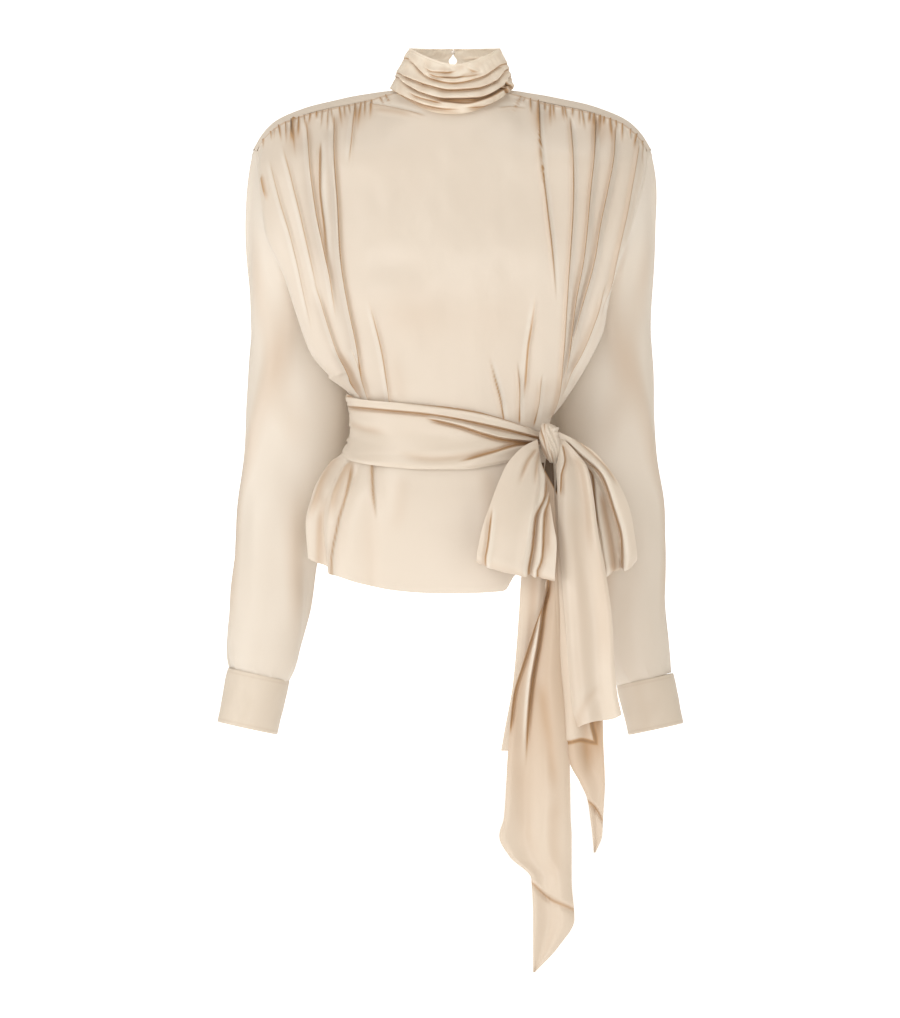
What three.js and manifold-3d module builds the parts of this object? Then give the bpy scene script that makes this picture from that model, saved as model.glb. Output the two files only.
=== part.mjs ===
// A silk blouse, hollow as it is worn: high draped collar, gathered shoulders, long sleeves,
// and a sash tied in a bow at the waist. Millimetres, +Z up, -Y is the front.
// The origin is between the shoulders, at the base of the neck. Left and right are the viewer's.
import * as THREE from "three";
import { mergeVertices } from "three/addons/utils/BufferGeometryUtils.js";
import Module from "manifold-3d";

// Driving sizes
const WALL = 1.2;
const SEAM = 0.9;
const UNDERARM_Z = -232;
const WAIST_Z = -366;
const SASH_LIFT = 2.9;
const BUTTON_RADIUS = 2.4;
const KEYHOLE = { x: 1, top: 42, bottom: 31, halfWidth: 4 };
const KNOT = { x: 104, y: -69, z: -377, halfWidth: 10, halfDepth: 14, halfHeight: 22 };

// Rows of numbers become objects with the named columns
function table(columns, rows) {
  const names = columns.split(" ");
  return rows.map((row) => Object.fromEntries(names.map((name, i) => [name, row[i]])));
}

// A column of a table at any station, on a smooth curve that never overshoots its rows
function read(rows, by, name, at) {
  const sign = rows[rows.length - 1][by] > rows[0][by] ? 1 : -1;
  const x = rows.map((row) => sign * row[by]);
  const y = rows.map((row) => row[name]);
  const t = sign * at;
  if (t <= x[0]) return y[0];
  if (t >= x[x.length - 1]) return y[y.length - 1];
  const i = x.findIndex((value) => value > t) - 1;
  const slope = (k) => (y[k + 1] - y[k]) / (x[k + 1] - x[k]);
  const tangent = (k) => {
    if (k === 0) return slope(0);
    if (k === x.length - 1) return slope(k - 1);
    const a = slope(k - 1);
    const b = slope(k);
    return a * b <= 0 ? 0 : (2 * a * b) / (a + b);
  };
  const h = x[i + 1] - x[i];
  const s = (t - x[i]) / h;
  const rise = y[i] * (1 + 2 * s) + h * s * tangent(i);
  const fall = y[i + 1] * (3 - 2 * s) + h * (s - 1) * tangent(i + 1);
  return rise * (1 - s) * (1 - s) + fall * s * s;
}

const clamp01 = (t) => Math.min(1, Math.max(0, t));
const mix = (a, b, t) => a + (b - a) * t;
const ease = (t) => clamp01(t) * clamp01(t) * (3 - 2 * clamp01(t));
const bell = (t) => Math.exp(-t * t);

// A wall of even thickness on a grid of points; around closes each row on itself
function wall(grid, { around = false, thickness = WALL } = {}) {
  const rows = grid.length;
  const columns = grid[0].length;
  const at = (j, i) => grid[j][around ? (i + columns) % columns : i];
  const face = [];
  const back = [];
  const du = new THREE.Vector3();
  const dv = new THREE.Vector3();
  for (let j = 0; j < rows; j++) {
    for (let i = 0; i < columns; i++) {
      const right = at(j, around ? i + 1 : Math.min(i + 1, columns - 1));
      const left = at(j, around ? i - 1 : Math.max(i - 1, 0));
      du.subVectors(right, left);
      dv.subVectors(grid[Math.min(j + 1, rows - 1)][i], grid[Math.max(j - 1, 0)][i]);
      const normal = du.clone().cross(dv).normalize().multiplyScalar(thickness / 2);
      face.push(grid[j][i].clone().add(normal));
      back.push(grid[j][i].clone().sub(normal));
    }
  }
  const count = rows * columns;
  const id = (j, i) => j * columns + (around ? i % columns : i);
  const index = [];
  const rim = (a, b) => index.push(b, a, a + count, b, a + count, b + count);
  const spans = around ? columns : columns - 1;
  for (let j = 0; j < rows - 1; j++) {
    for (let i = 0; i < spans; i++) {
      const a = id(j, i);
      const b = id(j, i + 1);
      const c = id(j + 1, i + 1);
      const d = id(j + 1, i);
      index.push(a, b, c, a, c, d);
      index.push(a + count, c + count, b + count, a + count, d + count, c + count);
    }
  }
  for (let i = 0; i < spans; i++) {
    rim(id(0, i), id(0, i + 1));
    rim(id(rows - 1, i + 1), id(rows - 1, i));
  }
  if (!around) {
    for (let j = 0; j < rows - 1; j++) {
      rim(id(j + 1, 0), id(j, 0));
      rim(id(j, columns - 1), id(j + 1, columns - 1));
    }
  }
  const positions = [...face, ...back].flatMap((p) => [p.x, p.y, p.z]);
  const geometry = new THREE.BufferGeometry();
  geometry.setAttribute("position", new THREE.Float32BufferAttribute(positions, 3));
  geometry.setIndex(index);
  geometry.computeVertexNormals();
  return geometry;
}

// A grid of points from a function of column and row, both from 0 to 1
function gridOf(columns, rows, point, around = false) {
  const last = around ? columns : columns - 1;
  return Array.from({ length: rows }, (_, j) =>
    Array.from({ length: columns }, (_, i) => point(i / last, j / (rows - 1))),
  );
}

// A smooth curve through points at even stations
function through(points, t) {
  const span = clamp01(t) * (points.length - 1);
  const i = Math.min(points.length - 2, Math.floor(span));
  const s = span - i;
  const p = (k) => points[Math.min(points.length - 1, Math.max(0, k))];
  const one = (axis) => {
    const a = p(i - 1)[axis];
    const b = p(i)[axis];
    const c = p(i + 1)[axis];
    const d = p(i + 2)[axis];
    const bend = 2 * a - 5 * b + 4 * c - d + (3 * (b - c) + d - a) * s;
    return b + 0.5 * s * (c - a + s * bend);
  };
  return new THREE.Vector3(one("x"), one("y"), one("z"));
}

// Half a level section, x from the centre line: a flattened ellipse between two depths
const oval = (x, width, wideY, endY, power) =>
  wideY + (endY - wideY) * Math.pow(Math.max(0, 1 - Math.pow(Math.abs(x) / width, power)), 1 / power);

// Bodice sections: half widths, depths, and the edge at the armhole or side seam
const HOOK = 0.86;
const BODICE = table("z sideZ left right wideY frontY backY edgeX edgeY edgeZ rearX rearY", [
  [-60, -80, 207, 206, -36, -92, 84, 206, -30, -86, 202, 40],
  [-105, -116, 204, 198, -56, -107, 94, 198, -49, -120, 194, 54],
  [-150, -159, 197, 188, -70, -120, 98, 185, -47, -162, 183, 60],
  [-188, -194, 181, 175, -72, -126, 97, 166, -32, -202, 164, 50],
  [-222, -228, 170, 167, -70, -122, 94, 139, 0, UNDERARM_Z, 139, 6],
  [-256, -258, 160, 161, -62, -113, 91, 112, 3, -258, 112, 5.4],
  [-284, -284, 149, 149, -56, -106, 88, 104, 1, -284, 104, 3.4],
  [-306, -306, 129, 137, -42, -99, 86, 101, -1, -306, 101, 1.4],
  [-322, -322, 111, 127, -22, -94, 84, 101, -1, -322, 101, 1.4],
  [-336, -336, 107.5, 117, -12, -90, 82, 102, 1, -336, 102, 3.4],
  [-350, -350, 106.5, 106, -9, -87, 80, 102, 3, -350, 102, 5.4],
  [WAIST_Z, WAIST_Z, 106, 103, -8, -85, 79, 100, 3, WAIST_Z, 100, 5.4],
]);

// The top edge of the front: neckline, gathered shoulder seam, shoulder end
const FRONT_TOP = table("s x y z", [
  [0, 0, -72, -17],
  [0.12, 28, -64, -14],
  [0.22, 46, -46, -6],
  [0.3, 62, -28, -3],
  [0.4, 92, -26, -11],
  [0.65, 150, -31, -24],
  [0.78, 180, -30, -34],
  [HOOK, 198, -27, -48],
  [0.94, 205, -20, -57],
  [1, 208, -13, -65],
]);

// Long folds of the front: x where they lie at each height, how wide and how deep
const FRONT_FOLDS = table("top bottom x0 x1 x2 x3 x4 width depth", [
  [-24, -330, -127, -123, -119, -107, -91, 5, 7],
  [-24, -200, -156, -147, -135, -128, -120, 5, 6],
  [-225, -330, -150, -150, -147, -128, -103, 5, 6],
  [-50, -220, -186, -168, -146, -138, -130, 6, 5],
  [-20, -50, -106, -106, -106, -106, -106, 4, 3],
  [-215, -335, -92, -88, -84, -80, -67, 9, 4],
  [-12, -190, 94, 99, 106, 110, 112, 6, 4],
  [-45, -345, 127, 132, 124, 120, 106, 5, 7],
  [-28, -300, 153, 150, 137, 126, 116, 5, 7],
  [-36, -300, 175, 167, 152, 137, 120, 5, 7],
  [-47, -200, 201, 190, 175, 160, 150, 5, 6],
  [-215, -335, 90, 88, 84, 78, 75, 9, 4],
]);
const FOLD_HEIGHTS = [-24, -105, -200, -265, -325];

// Small gathers along each shoulder seam
const GATHERS = { each: 14, from: 0.36, depth: 2.2, length: 34 };

function section(row, s, behind = false) {
  const side = s < 0 ? -1 : 1;
  const q = Math.abs(s);
  if (behind) {
    const x = row.rearX * Math.sin((q * Math.PI) / 2);
    const y = oval(x, row.rearX, row.rearY, row.backY, mix(2.3, 2, ease((-250 - row.z) / 80)));
    return new THREE.Vector3(side * x, y, mix(row.z, row.edgeZ, q * q));
  }
  const width = side < 0 ? row.left : row.right;
  if (q <= HOOK) {
    const f = q / HOOK;
    const x = width * mix(f, Math.sin((f * Math.PI) / 2), 0.55);
    const z = mix(row.z, row.sideZ, f * f);
    return new THREE.Vector3(side * x, oval(x, width, row.wideY, row.frontY, 2.3), z);
  }
  const turn = (((q - HOOK) / (1 - HOOK)) * Math.PI) / 2;
  const x = width - (width - row.edgeX) * (1 - Math.cos(turn));
  const y = row.wideY + (row.edgeY - row.wideY) * Math.sin(turn);
  return new THREE.Vector3(side * x, y, mix(row.sideZ, row.edgeZ, 1 - Math.cos(turn)));
}

// Columns of the front: few at the smooth centre, two for each gather, three round the edge
function frontColumns() {
  const half = [0, 0.09, 0.18, 0.26, 0.32];
  const steps = GATHERS.each * 2;
  for (let i = 0; i <= steps; i++) half.push(mix(GATHERS.from, HOOK, i / steps));
  half.push(mix(HOOK, 1, 0.35), mix(HOOK, 1, 0.7), 1);
  return [...half.slice(1).reverse().map((s) => -s), ...half];
}

// How far down a fold or gather pushes the cloth inwards at a point of the front
function frontFold(p) {
  let depth = 0;
  for (const fold of FRONT_FOLDS) {
    const heights = FOLD_HEIGHTS.map((z, i) => ({ z, x: fold["x" + i] }));
    const x = read(heights, "z", "x", p.z);
    const inside = ease((fold.top + 4 - p.z) / 14) * ease((p.z - fold.bottom) / 30);
    depth += fold.depth * inside * bell((p.x - x) / fold.width);
  }
  return depth;
}

function frontGather(p, s) {
  const q = Math.abs(s);
  if (q < GATHERS.from || q > HOOK) return 0;
  const turn = ((q - GATHERS.from) / (HOOK - GATHERS.from)) * GATHERS.each * 2 * Math.PI;
  const below = frontTop(s).z - p.z;
  const uneven = 0.75 + 0.25 * Math.sin(11 * s);
  const fade = ease(below / 5) * (1 - ease((below - 6) / (GATHERS.length * uneven)));
  return GATHERS.depth * uneven * fade * Math.cos(turn);
}

// Rows of the front, close together at the gathers
const UNDERARM_AT = 5 / 12;
const FRONT_ROWS = [
  0, 0.02, 0.045, 0.075, 0.12, 0.19, 0.28, 0.36, UNDERARM_AT, 0.5, 0.58, 0.66, 0.75, 0.86, 1,
];

const frontTop = (s) => {
  const at = Math.abs(s);
  const x = Math.sign(s) * read(FRONT_TOP, "s", "x", at);
  return new THREE.Vector3(x, read(FRONT_TOP, "s", "y", at), read(FRONT_TOP, "s", "z", at));
};

const frontPoint = (s, v) => through([frontTop(s), ...BODICE.map((row) => section(row, s))], v);

function makeFront() {
  const columns = frontColumns();
  const grid = FRONT_ROWS.map((v) =>
    columns.map((s) => {
      const p = frontPoint(s, v);
      const inwards = new THREE.Vector3(-p.x * 0.25, 60, 0).normalize();
      const clear = 1 - ease((Math.abs(s) - HOOK + 0.03) / 0.05);
      return p.addScaledVector(inwards, clear * (frontFold(p) + frontGather(p, s)));
    }),
  );
  return wall(grid);
}

// Yoke: where it meets the front or the neck, over the shoulder, behind it, and its back seam
const YOKE = [
  table("s x y z", [
    [0, 0, 56, 6], [0.15, 26, 50, 6], [0.28, 46, 31, 5], [0.36, 56, 6, 3], [0.42, 62, -24, -1.5],
    [0.5, 92, -24, -9.5], [0.7, 150, -29, -22], [0.84, 186, -27, -37], [0.93, 203, -20, -53],
    [1, 208.5, -10, -63],
  ]),
  table("s x y z", [
    [0, 0, 64, -4], [0.15, 30, 59, -4], [0.28, 53, 42, -3], [0.36, 64, 18, -1], [0.42, 71, 0, 0],
    [0.5, 94, -2, -3], [0.7, 150, -3, -15], [0.84, 187, -4, -30], [0.93, 204, -3, -46],
    [1, 212, 1, -61],
  ]),
  table("s x y z", [
    [0, 0, 73, -28], [0.15, 32, 71, -28], [0.28, 58, 63, -26], [0.36, 72, 50, -22], [0.42, 80, 40, -18],
    [0.5, 97, 36, -18], [0.7, 150, 32, -27], [0.84, 185, 26, -43], [0.93, 201, 20, -58],
    [1, 210, 17, -69],
  ]),
  table("s x y z", [
    [0, 0, 83, -62], [0.15, 34, 82, -62], [0.28, 64, 79, -63], [0.36, 80, 77, -64], [0.42, 90, 75.5, -65],
    [0.5, 105, 73, -67], [0.7, 150, 64, -73], [0.84, 178, 54, -78], [0.93, 193, 46, -82],
    [1, 203, 36, -85],
  ]),
];

const yokeLine = (k, s) => {
  const at = Math.abs(s);
  const x = Math.sign(s) * read(YOKE[k], "s", "x", at);
  return new THREE.Vector3(x, read(YOKE[k], "s", "y", at), read(YOKE[k], "s", "z", at));
};

const yokePoint = (s, v) => through([0, 1, 2, 3].map((k) => yokeLine(k, s)), v);
const makeYoke = () => wall(gridOf(31, 6, (u, v) => yokePoint(2 * u - 1, v)));

// Back folds: soft troughs that run into the waist, like those in front
const BACK_FOLDS = table("x top bottom width depth", [
  [-62, -200, -345, 9, 3.5],
  [-24, -230, -350, 8, 2.5],
  [18, -220, -350, 8, 2.5],
  [58, -190, -345, 9, 3.5],
]);

const BACK_ROWS = 12;

function backPoint(s, v) {
  const top = yokeLine(3, s).add(new THREE.Vector3(0, 0, -SEAM));
  return through([top, ...BODICE.slice(1).map((row) => section(row, s, true))], v);
}

function makeBack() {
  return wall(gridOf(25, BACK_ROWS, (u, v) => {
    const p = backPoint(1 - 2 * u, v);
    for (const fold of BACK_FOLDS) {
      const inside = ease((fold.top - p.z) / 60) * ease((p.z - fold.bottom) / 25);
      p.y -= fold.depth * inside * bell((p.x - fold.x) / fold.width);
    }
    return p;
  }));
}

// Armhole: the edges of the panels round it, from the shoulder end down the front and up the back
function armhole(side) {
  const down = [
    ...[0.4, 0.2, 0].map((v) => yokePoint(side, v)),
    ...[0.045, 0.12, 0.19, 0.28, 0.36, UNDERARM_AT].map((v) => frontPoint(side, v)),
  ];
  const up = [
    ...[4, 3, 2, 1].map((j) => backPoint(side, j / (BACK_ROWS - 1))),
    ...[1, 0.8, 0.6, 0.4].map((v) => yokePoint(side, v)),
  ];
  const filled = (points) => points.slice(1).flatMap((p, i) => {
    const parts = p.distanceTo(points[i]) > 28 ? 2 : 1;
    return Array.from({ length: parts }, (_, k) => points[i].clone().lerp(p, k / parts));
  });
  const turned = (points, from) => {
    const steps = points.map((p, i) => (i ? p.distanceTo(points[i - 1]) : 0));
    const total = steps.reduce((a, b) => a + b);
    let sum = 0;
    return points.map((point, i) => {
      sum += steps[i];
      return { point, angle: from + (sum / total) * Math.PI };
    });
  };
  const front = turned([...filled(down), down[down.length - 1]], 0);
  const back = turned([...filled(up), up[up.length - 1]], Math.PI);
  back[0].angle += 0.12;
  front[front.length - 1].angle -= 0.12;
  return [...front, ...back.slice(0, -1)];
}

// Sleeve sections below the armhole; rise tips them to the slant of the cuff
const SLEEVE = table("z outerLeft innerLeft outerRight innerRight y depth rise", [
  [-262, 217, 121, 214, 119, 45, 43, 0],
  [-330, 220, 116, 218, 115, 47, 39, 0],
  [-386, 223, 117, 220, 116, 48, 37, 0],
  [-437, 227, 128, 225, 127, 46, 35, 0],
  [-502, 231, 144, 227, 142, 42, 33, 1],
  [-555, 236, 154, 229, 150, 36, 32, 2],
  [-590, 241, 162, 232, 159, 31, 31, 4],
  [-612, 240, 169, 234, 168, 28, 30, 6],
  [-627, 235, 179, 234, 180.6, 27, 28.5, 7],
]);
const SLEEVE_FOLDS = table("angle top bottom width depth", [
  [20, -150, -420, 0.3, 3],
  [75, -280, -560, 0.3, 4],
  [125, -120, -360, 0.3, 3],
  [170, -300, -600, 0.3, 4],
  [235, -250, -480, 0.35, 4],
  [300, -330, -600, 0.3, 4],
]);
const CUFF_TUCKS = 8;

function sleeveRing(side, z, angle) {
  const name = side < 0 ? "Left" : "Right";
  const outer = read(SLEEVE, "z", "outer" + name, z);
  const inner = read(SLEEVE, "z", "inner" + name, z);
  const half = (outer - inner) / 2;
  const x = (outer + inner) / 2 + half * Math.cos(angle);
  const y = read(SLEEVE, "z", "y", z) - read(SLEEVE, "z", "depth", z) * Math.sin(angle);
  return new THREE.Vector3(side * x, y, z + read(SLEEVE, "z", "rise", z) * Math.cos(angle));
}

function makeSleeve(side) {
  const edge = armhole(side);
  const capStations = [0, 0.12, 0.32, 0.62, 1];
  const stations = [-310, -370, -430, -490, -545, -583, -606, -618, -627];
  const capRow = (t) => edge.map(({ point, angle }) => {
    const end = sleeveRing(side, SLEEVE[0].z, angle);
    const drop = point.z - end.z;
    const outwards = 10 * Math.cos(angle / 2) ** 2 + 13 * Math.max(0, -Math.sin(angle)) ** 0.3;
    const backwards = 52 * Math.sqrt(Math.max(0, Math.sin(angle))) * (1 - 0.3 * ease((angle - 2.5) / 0.5));
    const out = point.clone().add(new THREE.Vector3(side * outwards, backwards, -0.2 * drop));
    const above = end.clone().add(new THREE.Vector3(0, 0, 0.35 * drop));
    const lead = (SEAM + 1.1) / (3 * point.distanceTo(out));
    return new THREE.CubicBezierCurve3(point, out, above, end).getPoint(mix(lead, 1, t));
  });
  const grid = [
    ...capStations.map(capRow),
    ...stations.map((z) => edge.map(({ angle }) => sleeveRing(side, z, angle))),
  ];
  for (const row of grid.slice(2)) {
    const centre = row.reduce((sum, p) => sum.addScaledVector(p, 1 / row.length), new THREE.Vector3());
    row.forEach((p, i) => {
      const inwards = centre.clone().sub(p).setZ(0).normalize();
      for (const fold of SLEEVE_FOLDS) {
        const gap = edge[i].angle - THREE.MathUtils.degToRad(fold.angle);
        const near = Math.atan2(Math.sin(gap), Math.cos(gap));
        const inside = ease((fold.top - p.z) / 50) * ease((p.z - fold.bottom) / 50);
        p.addScaledVector(inwards, fold.depth * inside * bell(near / fold.width));
      }
      const tuck = bell((p.z + 612) / 12) * 1.6;
      p.addScaledVector(inwards, tuck * Math.cos(CUFF_TUCKS * edge[i].angle));
    });
  }
  return wall(grid.map((row) => (side < 0 ? row : row.reverse())), { around: true });
}

// Cuffs lap over the sleeve ends: centre of the top and bottom edge, and half width
const CUFF = {
  left: { top: [-207, 27, -624], bottom: [-219.5, 24, -681], half: 32.2, depth: 30.6 },
  right: { top: [207, 27, -629], bottom: [218.5, 24, -682], half: 28.2, depth: 29.8 },
};

function makeCuff({ top, bottom, half, depth }) {
  const from = new THREE.Vector3(...top);
  const to = new THREE.Vector3(...bottom);
  const down = to.clone().sub(from).normalize();
  const across = new THREE.Vector3(0, -1, 0).cross(down).normalize();
  return wall(gridOf(20, 3, (u, v) => {
    const angle = u * 2 * Math.PI;
    const swell = 1.03 - 0.02 * v;
    return from.clone().lerp(to, v)
      .addScaledVector(across, half * swell * Math.cos(angle))
      .add(new THREE.Vector3(0, depth * swell * Math.sin(angle), 0));
  }, true), { around: true });
}

// Collar: heights of its rim, ridges and lower edge at the left, in front and at the right
const COLLAR_RIDGES = table("left front right depth", [
  [0.5, 0.33, 0.32, 2.6],
  [0.62, 0.47, 0.56, 2.4],
  [0.76, 0.61, 0.72, 2.6],
  [0.92, 0.8, 0.9, 3.2],
]);

function collarPoint(angle, v) {
  const s = Math.sin(angle);
  const c = Math.cos(angle);
  const front = c > 0;
  const rimZ = front ? 28 + 19 * Math.abs(s) ** 1.6 : 47 + c * -1;
  const footZ = front ? -26 + 28.9 * Math.abs(s) ** 2.2 : 2.9 + 1.8 * -c;
  const rim = [3 + 49 * s, front ? -2 - 50 * c : -2 - 48 * c];
  const foot = [66 * s, front ? -4 - 82 * c : -4 - 65 * c];
  const flare = front ? v ** 1.3 : mix(v ** 1.3, v ** 2.2, -c);
  const z = mix(rimZ, footZ, v);
  const out = new THREE.Vector3(s, -c, 0);
  const p = new THREE.Vector3(mix(rim[0], foot[0], flare), mix(rim[1], foot[1], flare), z);
  let swell = 3 * Math.sin(Math.PI * v) - 3.5 * ease((v - 0.86) / 0.14) * Math.max(0, c);
  for (const ridge of COLLAR_RIDGES) {
    const at = s < 0 ? mix(ridge.front, ridge.left, s * s) : mix(ridge.front, ridge.right, s * s);
    swell += ridge.depth * mix(0.35, 1, ease((c + 0.6) / 1)) * bell((v - at) / 0.055);
  }
  return p.addScaledVector(out, swell);
}

// Waves of the flared part below the waist: angle round from the front, and how far out
const PEPLUM = table("v left right frontY backY", [
  [0, 106.5, 104, -85.5, 79],
  [0.13, 114.5, 113, -88, 82],
  [0.3, 132, 129, -93, 87],
  [0.42, 146, 141, -97, 90],
  [0.56, 152, 149, -100, 93],
  [0.72, 154, 151, -103, 95],
  [1, 152, 151, -106, 98],
]);
const PEPLUM_WAVES = table("angle width depth", [
  [-66, 5, -6],
  [-54, 4, 5],
  [-32, 5, -3],
  [-78, 5, 5],
  [57, 5, 5],
  [68, 5, -6],
  [80, 5, 5],
  [112, 7, 6],
  [128, 6, -6],
  [148, 8, 6],
  [166, 7, -6],
  [184, 8, 6],
  [202, 7, -6],
  [222, 8, 6],
  [240, 6, -6],
]);

function peplumPoint(degrees, v) {
  const angle = THREE.MathUtils.degToRad(degrees);
  const s = Math.sin(angle);
  const c = Math.cos(angle);
  const width = read(PEPLUM, "v", s < 0 ? "left" : "right", v);
  const wideY = mix(-8, -30, ease(v * 1.6));
  const endY = c > 0 ? read(PEPLUM, "v", "frontY", v) : read(PEPLUM, "v", "backY", v);
  const power = c > 0 ? 2.3 : mix(2.2, 1.75, ease(v * 1.6));
  const x = width * Math.sign(s) * Math.abs(s) ** (2 / power);
  const y = wideY + (endY - wideY) * Math.abs(c) ** (2 / power);
  const hem = c > 0 ? mix(-492, -536, c ** 1.2) : mix(-492, -505, -c);
  const p = new THREE.Vector3(x, y, mix(WAIST_Z - SEAM - WALL, hem, v));
  const out = new THREE.Vector3(s, -c, 0);
  let wave = 0;
  for (const row of PEPLUM_WAVES) {
    const gap = ((degrees - row.angle + 540) % 360) - 180;
    wave += row.depth * bell(gap / row.width);
  }
  return p.addScaledVector(out, wave * ease((v - 0.16) / 0.6));
}

const SIDE_ANGLE = 96;
const makePeplumFront = () =>
  wall(gridOf(37, 7, (u, v) => peplumPoint(mix(-SIDE_ANGLE, SIDE_ANGLE, u), v)));
const makePeplumBack = () =>
  wall(gridOf(27, 7, (u, v) => peplumPoint(mix(SIDE_ANGLE + 0.9, 359.1 - SIDE_ANGLE, u), v)));

// Sash: its upper and lower edge round the waist, from the left side past the front
const SASH_EDGES = table("angle top bottom", [
  [-180, -338, -400],
  [-130, -330, -392],
  [-90, -323, -386],
  [-60, -329, -395],
  [-37, -332, -400],
  [-9, -336, -404],
  [4, -339, -404],
  [18, -346, -399],
  [33, -353, -393],
  [46, -359, -385],
  [59, -364, -380],
  [72, -363, -384],
  [90, -357, -394],
  [130, -346, -400],
  [180, -338, -400],
]);
const SASH_RING = table("z left right wideY frontY backY", [
  [-322, 111.5, 127, -22, -94, 84],
  [-336, 107.5, 117, -12, -90, 82],
  [-350, 106.5, 107, -9, -87, 80],
  [WAIST_Z, 106.5, 104, -8, -85.5, 79],
  [-387, 116, 115, -10, -88.5, 82],
  [-396, 122, 122.5, -13, -90.5, 84],
  [-405, 129, 127, -16, -92.5, 86],
]);
const SASH_PLEATS = [0.16, 0.4, 0.66, 0.9];

function sashPoint(degrees, v) {
  const angle = THREE.MathUtils.degToRad(degrees);
  const s = Math.sin(angle);
  const c = Math.cos(angle);
  const top = read(SASH_EDGES, "angle", "top", degrees);
  const bottom = read(SASH_EDGES, "angle", "bottom", degrees);
  const z = mix(top, bottom, v);
  const width = read(SASH_RING, "z", s < 0 ? "left" : "right", z);
  const wideY = read(SASH_RING, "z", "wideY", z);
  const endY = read(SASH_RING, "z", c > 0 ? "frontY" : "backY", z);
  const x = width * Math.sign(s) * Math.abs(s) ** (2 / 2.3);
  const y = wideY + (endY - wideY) * Math.abs(c) ** (2 / 2.3);
  let lift = SASH_LIFT;
  for (const at of SASH_PLEATS) lift += 1.6 * bell((v - at) / 0.07);
  const pull = 0.7 * bell((degrees - 66) / 9);
  return new THREE.Vector3(x, y - pull, z).addScaledVector(new THREE.Vector3(s, -c, 0), lift);
}

const makeSash = () =>
  wall(gridOf(36, 8, (u, v) => sashPoint(360 * u - 180, v), true), { around: true });

function makeKnot() {
  const columns = 18;
  const rows = 8;
  const positions = [];
  const index = [];
  const add = (x, y, z) => positions.push(KNOT.x + x, KNOT.y + y, KNOT.z + z) / 3 - 1;
  const top = add(0, 0, KNOT.halfHeight);
  for (let j = 1; j < rows; j++) {
    const tilt = (j / rows) * Math.PI;
    for (let i = 0; i < columns; i++) {
      const turn = (i / columns) * 2 * Math.PI;
      const r = Math.sin(tilt) ** 0.7 * (1 - 0.07 * Math.cos(6 * turn + 1));
      const x = KNOT.halfWidth * r * Math.cos(turn);
      const y = KNOT.halfDepth * r * Math.sin(turn);
      add(x, y, KNOT.halfHeight * Math.cos(tilt));
    }
  }
  const foot = add(0, 0, -KNOT.halfHeight);
  const id = (j, i) => 1 + (j - 1) * columns + (i % columns);
  for (let i = 0; i < columns; i++) {
    index.push(top, id(1, i), id(1, i + 1));
    index.push(foot, id(rows - 1, i + 1), id(rows - 1, i));
    for (let j = 1; j < rows - 1; j++) {
      index.push(id(j, i), id(j + 1, i), id(j + 1, i + 1));
      index.push(id(j, i), id(j + 1, i + 1), id(j, i + 1));
    }
  }
  const geometry = new THREE.BufferGeometry();
  geometry.setAttribute("position", new THREE.Float32BufferAttribute(positions, 3));
  geometry.setIndex(index);
  geometry.computeVertexNormals();
  return geometry;
}

// Bow loops: outer edge, crease and inner edge of the face, down to the turn at the bottom
const LOOP_LEFT = table("ox oz cx cz rx rz y gap", [
  [91, -372, 93, -384, 94.5, -396, -78, 4],
  [77, -379, 92, -398, 99, -410, -94, 6],
  [60, -396, 92, -414, 102, -424, -107, 9],
  [50, -416, 90, -432, 105, -444, -119, 12],
  [41, -440, 86, -455, 108, -464, -130, 15],
  [32, -466, 81, -480, 111, -484, -137, 17],
  [26, -494, 75, -508, 109, -516, -140, 18],
]);
const LOOP_RIGHT = table("ox oz cx cz rx rz y gap", [
  [113.9, -364, 114.4, -370, 114.8, -376, -68, 4],
  [134, -374, 130, -384, 125, -392, -66, 7],
  [150, -384, 144, -397, 136, -408, -68, 11],
  [165, -401, 156, -414, 144, -424, -76, 14],
  [180, -424, 165, -436, 150, -446, -84, 16],
  [190, -450, 174, -462, 157, -470, -90, 17],
  [197, -492, 182, -502, 164, -510, -94, 18],
]);

function makeLoop(rows) {
  const across = [0, 0.2, 0.4, 0.6, 0.7, 0.8, 1];
  const face = (t, u, behind) => {
    const r = (name) => read(rows.map((row, i) => ({ ...row, i })), "i", name, t * (rows.length - 1));
    const f = u < 0.65 ? u / 0.65 : (u - 0.65) / 0.35;
    const x = u < 0.65 ? mix(r("ox"), r("cx"), f) : mix(r("cx"), r("rx"), f);
    const z = u < 0.65 ? mix(r("oz"), r("cz"), f) : mix(r("oz") * 0 + r("cz"), r("rz"), f);
    const step = 6 * ease((u - 0.62) / 0.16) * ease(t * 3);
    const swell = 4 * Math.sin(Math.PI * clamp01(u / 0.65)) * ease(t * 2);
    const y = r("y") + step - swell + (behind ? r("gap") - step * 0.6 + swell * 1.4 : 0);
    return new THREE.Vector3(x, y, z);
  };
  const grid = [];
  for (const t of [0, 0.12, 0.26, 0.42, 0.58, 0.74, 0.88, 1]) {
    grid.push(across.map((u) => face(t, u, false)));
  }
  for (const turn of [0.25, 0.5, 0.75]) {
    grid.push(across.map((u) => {
      const a = face(1, u, false);
      const b = face(1, u, true);
      const radius = (b.y - a.y) / 2;
      const y = (a.y + b.y) / 2 - radius * Math.cos(turn * Math.PI);
      return new THREE.Vector3(a.x, y, a.z - radius * Math.sin(turn * Math.PI));
    }));
  }
  for (const t of [1, 0.85, 0.68, 0.5, 0.33, 0.16, 0]) {
    grid.push(across.map((u) => face(t, u, true)));
  }
  return wall(grid.map((row) => row.reverse()));
}

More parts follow.
